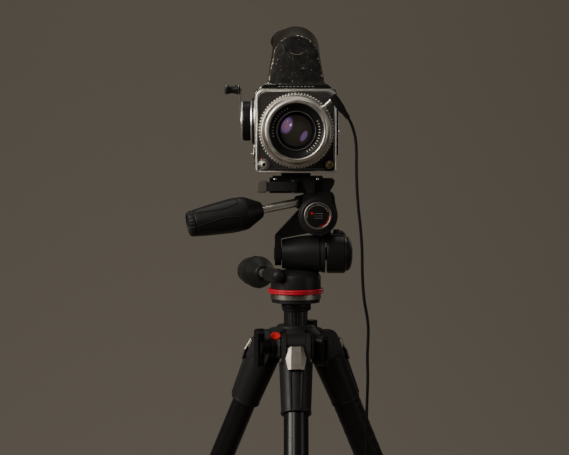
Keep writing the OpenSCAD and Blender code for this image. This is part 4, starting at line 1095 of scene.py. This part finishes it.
class ReceiverOperator(bpy.types.Operator):
    """Makes the quick plate, its receiver and the lever"""
    bl_idname = "camera_stand.receiver"
    bl_label = "Quick release"

    def execute(self, context):
        cad_piece("quick_release_plate", "quick_plate", "roll", "casting", "black_casting", 0.5)
        cad_piece("receiver_platform", "plate_receiver", "roll", "casting", "black_casting", 0.5)
        for name, x, y in (("plate_rivet_front", 23.0, -21.6), ("plate_rivet_left", -22.0, -21.6)):
            turned(name, "roll", "bright_steel", "steel", LENS @ shift(x, y, -51.2) @ FRONT,
                [(0, -0.6), (1.5, -0.6), (1.4, 0.3), (0.7, 0.7), (0, 0.8)], steps=24, closed=False, soft=0.1)
        shoulder = [(12, -64), (36, -64), (39.6, -66.2), (41.2, -70), (41.6, -75), (42.6, -80), (43.9, -86),
            (43, -90), (12, -90)]
        plate("receiver_shoulder", "roll", "black_casting", "casting", LENS_FRONT, shoulder, 5.2, 22.6, bevel=1.2)
        lip = Shape(LENS @ shift(0, -23.1, 0) @ FRONT).paint("casting")
        lip.extrude([(6.5, -53.6), (28.0, -53.6), (28.0, -54.8), (7.4, -54.8)], -1.1, 0.3)
        lip.extrude([(9.0, -57.6), (21.5, -57.0), (21.5, -57.9), (9.8, -58.5)], -1.1, 0.2)
        lip.done("receiver_front_ribs", "roll", "black_casting", bevel=0.25)
        self.lever()
        self.barrel()
        return {"FINISHED"}

    @staticmethod
    def lever():
        place = LENS @ shift(-1, -26.5, 0)
        shape = Shape(place).paint("casting")
        bar = [(-31.5, -2.9), (-30.0, -3.5), (-2.0, -3.7), (1.5, -3.2), (3.4, 0), (1.5, 3.2), (-2.0, 3.5), (-30, 3.4)]
        shape.extrude(bar, -64, -54)
        shape.lathe([(0, -65.8), (1.6, -65.8), (1.6, -52.2), (0, -52.2)], None, 32, False, 0.1)
        shape.done("release_lever_bar", "receiver_lever", "black_plastic", ("receiver_lever",), bevel=0.6)
        pad = Shape(place).paint("pad_rubber")
        rings = []
        for x, half, low, high in ((-40.0, 3.2, -63.6, -54.0), (-39.2, 4.2, -65.0, -52.8), (-34, 4.4, -65.4, -52.3),
                                   (-30.4, 4.2, -65.2, -52.6), (-29.6, 3.6, -64.6, -53.2)):
            rings.append([(x, -half, low + 0.8), (x, -half, high - 0.8), (x, -half + 0.8, high),
                (x, half - 0.8, high), (x, half, high - 0.8), (x, half, low + 0.8), (x, half - 0.8, low),
                (x, -half + 0.8, low)])
        pad.rings(rings).done("release_lever_pad", "receiver_lever", "black_rubber", bevel=0.3)

    @staticmethod
    def barrel():
        """The roll barrel's stepped rim, its silver ring, dark disc and red marks"""
        turned("roll_barrel_rim", "roll", "black_casting", "casting", ROLL_AXIS,
            [(14.6, 20), (20.9, 20), (20.9, 23.2), (20.0, 24.3), (18.2, 24.6), (17.6, 25.2), (16.4, 25.4),
            (14.6, 25.4)], soft=0.3, steps=128)
        turned("roll_cap_ring", "roll", "selector_metal", "selector", ROLL_AXIS,
            [(12.4, 23.8), (14.9, 23.8), (14.9, 26.4), (14.3, 27.0), (13.1, 27.1), (12.7, 26.4), (12.4, 26.3)],
            replaces=("roll_cap",), steps=128, soft=0.2)
        turned("roll_cap_disc", "roll", "black_plastic", "ring_black", ROLL_AXIS,
            [(0, 24), (12.5, 24), (12.5, 26.35), (0, 26.5)], steps=96, closed=False, soft=0.1)
        repeated("roll_cap_arc", Shape().block((-0.45, -0.62, 0), (0.45, 0.62, 0.16)), ROLL_AXIS @ shift(0, 0, 26.35),
            "roll", "red_mark", 15, 11.4, -78, 5.5)
        repeated("roll_cap_line", Shape().block((-0.10, -0.5, 0), (0.10, 0.5, 0.12)), ROLL_AXIS @ shift(0, 0, 26.35),
            "roll", "white_mark", 34, 11.5, 24, 4.9)
        turned("roll_cap_dot", "roll", "red_enamel", "red_mark", ROLL_AXIS @ shift(-6.3, 2.6, 26.4),
            [(0, -0.3), (1.7, -0.3), (1.5, 0.2), (0, 0.35)], steps=24, closed=False, soft=0)
        repeated("roll_cap_bars", Shape().block((-4.6, -0.2, 0), (4.6, 0.2, 0.1)),
            ROLL_AXIS @ shift(0.6, 2.6, 26.45) @ turn(90, "X"), "roll", "white_mark", 3, step=0,
            lift=2.5)


class HandleOperator(bpy.types.Operator):
    """Makes the pan handle and the roll handle"""
    bl_idname = "camera_stand.handles"
    bl_label = "Handles"

    def execute(self, context):
        panels = context.scene.stand_sizes.grip_panels
        self.handle("pan", PAN_HANDLE, 80, "pan_handle", ("pan_lever", "pan_grip"), (47.8, 110), panels, True)
        self.handle("roll", ROLL_HANDLE, 44, "roll_handle", ("roll_lever", "roll_grip"), (-7.6, 74), panels, False)
        return {"FINISHED"}

    @staticmethod
    def profile(at):
        """Radius of the grip at a distance from its inner end"""
        stations = ((0, 7.6), (1, 8.4), (5.5, 10.8), (17.5, 17.2), (21, 17.9), (25, 18.0), (33, 17.6), (60, 15.4),
                    (76, 13.9), (78, 13.5), (81, 11.6))
        for (x0, r0), (x1, r1) in zip(stations, stations[1:]):
            if at <= x1:
                return r0 + (r1 - r0) * (at - x0) / (x1 - x0)
        return stations[-1][1]

    def handle(self, name, place, start, body, nodes, rod, panels, is_pan):
        outline_radius, notches, rod_foot = 0.6, 18, max(rod[0], -6)

        def facet(angle, radius, height):
            return radius * (1 - 0.018 * (0.5 - 0.5 * math.cos(panels * angle))) if radius > 9 else radius

        points = [(0, start), (6.2, start), (6.6, start - 0.2)]
        points += [(self.profile(a), start + a) for a in (0.6, 2, 5.5, 12, 17.5, 20, 23, 27, 33, 42, 52, 60, 68,
            73.6)]
        turned(name + "_grip_rubber", body, "black_rubber", "rubber", place,
            points + [(13.6, start + 74.1), (12.9, start + 74.4), (0, start + 74.4)], replaces=(nodes[1],), steps=144,
            closed=False, soft=1.1, wave=facet)

        def notch(angle, radius, height):
            dip = max(0.0, math.cos(notches * angle)) ** 6
            return radius - 0.55 * dip if radius > 11 and height > start + 75.2 else radius

        turned(name + "_grip_end", body, "black_rubber", "rubber", place,
            [(0, start + 74.2), (13.4, start + 74.2), (13.9, start + 74.9), (13.9, start + 75.6),
            (13.6, start + 77.4), (12.6, start + 80.2), (11.3, start + 81), (9.8, start + 80.6), (9.4, start + 79.8),
            (0, start + 79.6)], steps=notches * 12, closed=False, soft=0.4, wave=notch)
        raised = Shape(place).paint("rubber")
        half = math.pi / panels
        for panel in range(panels):
            middle = math.tau * (panel + 0.5) / panels + 0.35
            outline = ((27, 0.42), (38, 0.62), (48, 0.60), (72, 0.30), (72, -0.30), (48, -0.60), (38, -0.62),
                       (27, -0.42), (27, 0.42))
            path = []
            for (a0, w0), (a1, w1) in zip(outline, outline[1:]):
                for k in range(8):
                    t = k / 8
                    along, wide = a0 + (a1 - a0) * t, w0 + (w1 - w0) * t
                    angle = middle + wide * half
                    r = facet(angle, self.profile(along), 0) + 0.05
                    path.append((r * math.cos(angle), r * math.sin(angle), start + along))
            path.append(path[0])
            raised.tube(path, outline_radius, 6)
        raised.done(name + "_grip_outlines", body, "black_rubber")
        turned(name + "_rod", body, "bright_steel", "steel", place, [(0, rod_foot), (4.0, rod_foot),
            (4.5, rod_foot + 6.6), (4.5, rod[1]), (0, rod[1])], replaces=(nodes[0],), steps=48, closed=False)
        low = 48.3 if is_pan else 0.2
        high = 55 if is_pan else 7.2
        collar = Shape(place).paint("plastic").lathe(
            [(4.2, low), (6.7, low), (7.0, low + 0.6), (7.0, high - 2), (6.2, high - 0.4), (5.6, high), (4.2, high)],
            steps=64)
        collar.done(name + "_rod_collar", body, "black_plastic")


class HeadOperator(bpy.types.Operator):
    """Makes the head: base rings, pan body, yoke and both knobs"""
    bl_idname = "camera_stand.head"
    bl_label = "Three-way head"

    def execute(self, context):
        cad_piece("pan_body_casting", "pan_body", "pan", "casting", "black_casting", 0.35)
        cad_piece("tilt_yoke_casting", "tilt_yoke", "tilt", "casting", "black_casting", 0.6)
        cad_piece("notched_base_ring", "head_base", "column", "selector", "selector_metal", 0.25)
        turned("red_band", "pan", "red_enamel", "red", LENS, [(24, -174.1), (29.3, -174.2), (30.0, -173.5),
            (30.05, -172.6), (29.5, -172.1), (29.5, -171.7), (30.05, -171.2), (30.0, -170.0), (29.3, -169.1),
            (24, -169.1)], replaces=("red_ring",), steps=144, soft=0.2)
        self.tilt_knob()
        self.roll_wheel()
        screw_place = TILT_AXIS @ shift(0, 0, 22) @ turn(98, "Y") @ shift(0, 0, 20.0)
        turned("pan_body_screw", "pan", "bright_steel", "steel", screw_place,
            [(0, -0.6), (1.9, -0.6), (1.9, 0.25), (1.4, 0.5), (0.9, 0.5), (0.9, -0.1), (0, -0.1)],
            steps=24, closed=False, soft=0.1)
        turned("yoke_axle_ring", "tilt", "black_casting", "casting", TILT_AXIS,
            [(6, -22.9), (7.2, -23.1), (7.4, -22.4), (6, -22.3)], steps=48, soft=0.1)
        turned("yoke_axle_cap", "tilt", "black_plastic", "plastic", TILT_AXIS @ shift(0, 0, -22.9),
            [(0, 0.5), (5.6, 0.5), (5.6, -0.2), (5.0, -0.5), (2.6, -0.5), (2.2, 0.1), (0, 0.1)], steps=6,
            closed=False, soft=0.1)
        return {"FINISHED"}

    @staticmethod
    def tilt_knob():
        turned("tilt_knob_body", "tilt_knob", "black_plastic", "plastic", TILT_AXIS,
            [(7.2, 33.3), (20.2, 33.3), (20.9, 34.0), (20.95, 34.8), (20.95, 51.2), (20.6, 52.2), (19.8, 52.9),
            (18.9, 53.2), (18.6, 53.9), (17.8, 56.6), (15.4, 58.6), (11, 60.1), (6, 60.8), (0, 61), (0, 46.6),
            (7.2, 46.6)], replaces=("tilt_knob",), steps=192, closed=False, soft=0.35)
        turned("tilt_knob_ring", "tilt_knob", "black_plastic", "dark_steel", TILT_AXIS,
            [(18.2, 53.1), (19.15, 53.15), (19.1, 53.7), (18.3, 53.9)], steps=96, soft=0.1)

    @staticmethod
    def roll_wheel():
        place = LENS @ shift(0, 30, -117) @ RIGHT
        cad_piece("roll_wheel_core", "roll_wheel", "roll_wheel", "plastic", "black_plastic", 0.3)
        lobe = Shape().lathe(
            [(0, 41.4), (0.6, 41.5), (0.7, 42), (0.7, 46.6), (0.5, 47.4), (0, 47.6)], steps=8, closed=False, soft=0)
        repeated("roll_wheel_lobes", lobe, place, "roll_wheel", "plastic", 26, 8.9)


# Stand

class StandOperator(bpy.types.Operator):
    """Makes the centre column, the spider and its fittings"""
    bl_idname = "camera_stand.spider"
    bl_label = "Column and spider"

    def execute(self, context):
        self.column()
        cad_piece("spider_casting", "spider", "root", "casting", "black_casting", 0.6, place=HINGES)
        cad_piece("hinge_pin_rods", "hinge_pins", "root", "plastic", "bright_steel", 0.5, place=HINGES)
        cad_piece("column_wing_knob", "column_lock_knob", "column_lock", "plastic", "black_plastic", 0.9,
                  place=HINGES, sharp=40)
        turned("spider_rim", "root", "black_casting", "casting", HINGES,
            [(12.96, 15), (20.6, 15), (20.6, 16.9), (19.4, 18.4), (15, 18.9), (12.96, 18.9)], steps=128, soft=0.5)
        badge = Shape(HINGES @ turn(219, "Z") @ shift(28.1, 0, 8.4) @ turn(66, "Y")).paint("red_mark")
        oval = [(4.1 * math.cos(a), 8.4 * math.sin(a)) for a in (math.tau * k / 48 for k in range(48))]
        small = [(0.86 * x, 0.9 * y) for x, y in oval]
        badge.rings([[(x, y, -1.2) for x, y in oval], [(x, y, 0.2) for x, y in oval],
            [(x, y, 0.75) for x, y in small]])
        badge.done("spider_red_badge", "root", "red_enamel")
        level = Shape(HINGES @ shift(17, 13, 21)).paint("plastic").lathe(
            [(4.7, -1), (6.7, -1), (6.7, 0.4), (6.2, 0.9), (4.7, 0.9)], steps=64)
        level.paint("level").lathe([(0, -0.6), (4.8, -0.6), (4.6, 0.2), (2.6, 0.6), (0, 0.7)], steps=48, closed=False)
        level.done("spider_level", "root", "black_plastic")
        frame_ring = rounded_rectangle((-13.2, -5.3), (13.2, 5.3), (5.2, 5.2, 5.2, 5.2), 8)
        hole = rounded_rectangle((-12.2, -4.3), (12.2, 4.3), (4.2, 4.2, 4.2, 4.2), 8)
        place = HINGES @ turn(-30, "Z") @ shift(36, 0, -8) @ RIGHT
        plate("accessory_socket_rim", "root", "black_casting", "plastic", place, frame_ring, -1.2, 0.5, inner=hole,
            bevel=0.3)
        return {"FINISHED"}

    @staticmethod
    def column():
        """The column's tube has three shallow flats and fine grooves down its length"""
        def flats(angle, radius, height):
            if radius < 11.5:
                return radius
            flat = max(0.0, math.cos(3 * angle + 1.2)) ** 8
            groove = max(0.0, math.cos(18 * angle)) ** 10
            return radius - 0.75 * flat - 0.22 * groove

        turned("column_tube", "column", "black_tube", "tube", LENS, [(11.1, -521), (12.85, -521), (12.85, -191.2),
            (11.1, -191.2)], replaces=("centre_column",), sharp=26, steps=216, soft=0.25, wave=flats)
        cad_piece("column_top_plate", "column_plate", "column", "casting", "black_casting", 0.35)
        collar = Shape().paint("casting").lathe([(12.4, -193.6), (14.0, -193.6), (14.6, -192.9), (14.6, -190),
            (15.4, -189), (15.4, -184.4), (12.4, -184.4)], steps=96, soft=0.3)
        collar.block((12.6, -3.2, -192.4), (16.2, 3.2, -184.6))
        collar.done("column_collar", "column", "black_casting")
        hook = Shape(LENS @ shift(0, 0, -521)).paint("plastic").lathe(
            [(0, 1), (12.9, 1), (12.9, -1.4), (12.2, -3), (4.4, -4.2), (0, -4.2)], steps=64, closed=False)
        ring = [(5.2 * math.cos(a), 0, -8.6 + 5.2 * math.sin(a)) for a in (math.tau * k / 32 for k in range(33))]
        hook.paint("steel").tube(ring, 1.1, 10)
        hook.done("column_end_hook", "column", "black_plastic")


class LegOperator(bpy.types.Operator):
    """Makes the three legs"""
    bl_idname = "camera_stand.legs"
    bl_label = "Legs"

    def execute(self, context):
        for name, spin in LEG_SPINS.items():
            self.leg(name, leg_place(spin), name == "right")
        return {"FINISHED"}

    def leg(self, name, place, wrap):
        upper, middle, lower = name + "_upper_leg", name + "_middle_leg", name + "_lower_leg"
        cad_piece(name + "_leg_top", name + "_leg_casting", upper, "casting", "black_casting", 0.7, place=place)
        self.sleeve_ridges(name, place, upper)
        tube_zones = (("casting", lambda p: p.z < UPPER_SLEEVE_END),)
        if wrap:
            tube_zones += (("rubber", lambda p: -300.5 < p.z < -75.8 and p.to_2d().length > 14),)
        cad_piece(name + "_upper_tube_skin", name + "_upper_tube", upper, "tube", "black_tube", 0.3, zones=tube_zones,
                  place=place)
        cad_piece(name + "_middle_tube_skin", name + "_middle_tube", middle, "tube", "black_tube", 0.3,
                  zones=(("casting", lambda p: p.z < MIDDLE_SLEEVE_END),), place=place)
        cad_piece(name + "_lower_tube_skin", name + "_lower_tube", lower, "tube", "black_tube", 0.0,
                  zones=(("rubber", lambda p: p.z < -LEG_LENGTH + 34.5),), place=place)
        self.foot(name, place, lower)
        for which, body, drop in (("upper", name + "_upper_clamp", 435), ("lower", name + "_lower_clamp", 652)):
            cad_piece(f"{name}_{which}_clamp_lever", f"{name}_{which}_lever", body, "plastic", "black_plastic", 0.8,
                      place=place, sharp=40)
            depth = -26.2 if which == "upper" else -23.9
            face = place @ shift(0, depth + 0.75, -drop + 22) @ FRONT
            outline = rounded_rectangle((-4.6, -10.0), (4.6, 9.6), (1.6, 1.6, 1.6, 1.6), 4)
            inner = rounded_rectangle((-3.8, -9.2), (3.8, 8.8), (1.0, 1.0, 1.0, 1.0), 4)
            plate(f"{name}_{which}_lever_panel", body, "black_plastic", "casting", face, outline, -0.4, 0.45,
                inner=inner, bevel=0.15)
        self.selector(name, place)
        if wrap:
            rib = Shape().lathe(
                [(14.8, -0.9), (15.25, -0.6), (15.25, 0.6), (14.8, 0.9)], steps=64, soft=0)
            repeated(name + "_wrap_ribs", rib, place @ shift(0, 0, -82), upper, "rubber", 16, step=0,
                lift=-14.0)

    @staticmethod
    def sleeve_ridges(name, place, body):
        """Two raised ridges down the front of the sleeve, and its lower lip"""
        shape = Shape(place).paint("casting")
        stations = ((-31, 1.6, 17.2), (-34, 1.9, 18.1), (-60, 1.5, 17.1), (-73, 1.1, 16.5), (-75, 0.9, 15.4))
        for side in (-1, 1):
            rings = []
            for z, half, proud in stations:
                centre = side * (6.4 + 0.03 * (z + 31))
                rings.append([(centre - half, -13.6, z), (centre - half * 0.5, -proud, z),
                    (centre + half * 0.5, -proud, z), (centre + half, -13.6, z)])
            shape.rings(rings)
        shape.lathe([(13.1, -75.6), (15.9, -75.6), (16.1, -74.9), (16.1, -72.6), (15.5, -72.0), (13.1, -72.0)],
            steps=96)
        shape.done(name + "_sleeve_ridges", body, "black_casting", bevel=0.3)

    @staticmethod
    def selector(name, place):
        """The bright catch: a narrow top, wide shoulders, a raised middle face and a lip at its foot"""
        outline = ((-7.6, 6.9, 4.9), (-8.4, 7.2, 4.9), (-20.5, 11.2, 5.4), (-32, 8.8, 5.3), (-33.2, 8.5, 5.3))
        rings = []
        for z, half, middle in outline:
            proud = 21.4 if z < -8 else 20.9
            rings.append([(-half, -17.9, z), (-half, -19.6, z), (-middle, -proud, z), (middle, -proud, z),
                          (half, -19.6, z), (half, -17.9, z)])
        shape = Shape(place).paint("selector").rings(rings)
        shape.block((-8.6, -18.2, -18), (8.6, -13.4, -8.6))
        shape.lathe([(0, 6), (2, 6), (2, 18.4), (0, 18.4)], shift(0, 0, -26) @ FRONT, 24, False, 0.1)
        shape.done(name + "_selector_catch", name + "_selector", "selector_metal", (name + "_angle_selector",),
                   bevel=0.35, sharp=20)

    @staticmethod
    def foot(name, place, body):
        """Ribs round the rubber foot's neck"""
        rib = Shape().lathe([(12.4, -0.9), (13.2, -0.5), (13.2, 0.5), (12.4, 0.9)], steps=48, soft=0)
        repeated(name + "_foot_ribs", rib, place @ shift(0, 0, -LEG_LENGTH + 15), body, "rubber", 7,
            step=0, lift=2.6)


class StageOperator(bpy.types.Operator):
    """Makes the floor, the lights and the camera"""
    bl_idname = "camera_stand.stage"
    bl_label = "Stage"

    def execute(self, context):
        scene = context.scene
        camera = bpy.data.cameras.new("view")
        camera.sensor_width, camera.lens, camera.clip_end = 36, 106.2, 50
        view = bpy.data.objects.new("view", camera)
        distance, look_down = 1.8, 3.30
        view.location = (-0.0121, COLUMN_Y - distance, LENS_HEIGHT)
        view.rotation_euler = (math.radians(90 - look_down), 0, 0)
        scene.collection.objects.link(view)
        scene.camera = view
        self.floor(scene)
        self.lights(scene)
        return {"FINISHED"}

    @staticmethod
    def floor(scene):
        """A pale sweep: a flat floor that curves up into a wall, which is clear when looked at from its back"""
        reach, start, bend, top, steps = 6, 1.2, 1.2, 5.0, 16
        rows = [(-6.0, 0.0), (start, 0.0)]
        for k in range(1, steps + 1):
            angle = math.pi / 2 * k / steps
            rows.append((start + bend * math.sin(angle), bend - bend * math.cos(angle)))
        rows += [(start + bend, top)]
        mesh = bmesh.new()
        lines = [[mesh.verts.new((x, y, z)) for x in (-reach, reach)] for y, z in rows]
        for a, b in zip(lines, lines[1:]):
            mesh.faces.new((a[0], a[1], b[1], b[0]))
        data = bpy.data.meshes.new("floor_sweep")
        mesh.to_mesh(data)
        mesh.free()
        data.shade_smooth()
        finish = Finish("plain_stage", (0.225, 0.206, 0.175), 0.85)
        finish.feed("Alpha", 1 - Value(finish, finish.node("ShaderNodeNewGeometry").outputs["Backfacing"]))
        data.materials.append(finish.material)
        floor = bpy.data.objects.new("floor_sweep", data)
        scene.collection.objects.link(floor)

    @staticmethod
    def lights(scene):
        """A large soft key and a small glint on the left, a weak fill on the right, one above and one behind"""
        world = bpy.data.worlds.new("studio")
        world.use_nodes = True
        world.node_tree.nodes["Background"].inputs["Color"].default_value = (1.0, 0.96, 0.90, 1)
        world.node_tree.nodes["Background"].inputs["Strength"].default_value = 0.07
        scene.world = world
        target = Vector((0, COLUMN_Y, LENS_HEIGHT - 0.05))
        for name, place, size, power, colour in (
                ("key", (-1.35, -0.55, 1.65), (0.7, 1.3), 30, (1.0, 0.93, 0.84)),
                ("glint", (-0.75, -1.25, 2.15), (0.35, 0.9), 9, (1.0, 0.94, 0.86)),
                ("fill", (1.6, -0.7, 1.2), (0.6, 1.2), 3.5, (1.0, 0.94, 0.88)),
                ("top", (0.0, 0.5, 2.6), (1.4, 1.0), 8, (1.0, 0.95, 0.88)),
                ("rim", (1.0, 1.4, 1.6), (0.5, 1.2), 1.5, (1.0, 0.92, 0.84))):
            light = bpy.data.lights.new(name, "AREA")
            light.shape, light.size, light.size_y, light.energy, light.color = "RECTANGLE", *size, power, colour
            lamp = bpy.data.objects.new(name, light)
            lamp.location = place
            lamp.rotation_euler = (target - Vector(place)).to_track_quat("-Z", "Y").to_euler()
            scene.collection.objects.link(lamp)


PIECE_OPERATORS = (StageOperator, CordOperator, BodyOperator, PrismOperator, LensOperator, ControlsOperator,
                   MagazineOperator, ReceiverOperator, HandleOperator, HeadOperator, StandOperator, LegOperator)


class StandPanel(bpy.types.Panel):
    """Lists the settings and every piece"""
    bl_idname = "VIEW3D_PT_camera_stand"
    bl_label = "Film camera on tripod"
    bl_space_type = "VIEW_3D"
    bl_region_type = "UI"
    bl_category = "Camera stand"

    def draw(self, context):
        for settings in (context.scene.stand_sizes, context.scene.stand_colours):
            for name in settings.bl_rna.properties.keys():
                if name not in ("rna_type", "name"):
                    self.layout.prop(settings, name)
        for operator in PIECE_OPERATORS:
            self.layout.operator(operator.bl_idname)


CLASSES = (StandSizes, StandColours, *PIECE_OPERATORS, StandPanel)


def register():
    for each in CLASSES:
        bpy.utils.register_class(each)
    bpy.types.Scene.stand_sizes = bpy.props.PointerProperty(type=StandSizes)
    bpy.types.Scene.stand_colours = bpy.props.PointerProperty(type=StandColours)


def unregister():
    del bpy.types.Scene.stand_colours
    del bpy.types.Scene.stand_sizes
    for each in reversed(CLASSES):
        bpy.utils.unregister_class(each)


def main():
    register()
    make_finishes(bpy.context.scene.stand_colours)
    for operator in PIECE_OPERATORS:
        getattr(bpy.ops.camera_stand, operator.bl_idname.split(".")[1])()


if __name__ == "__main__":
    main()
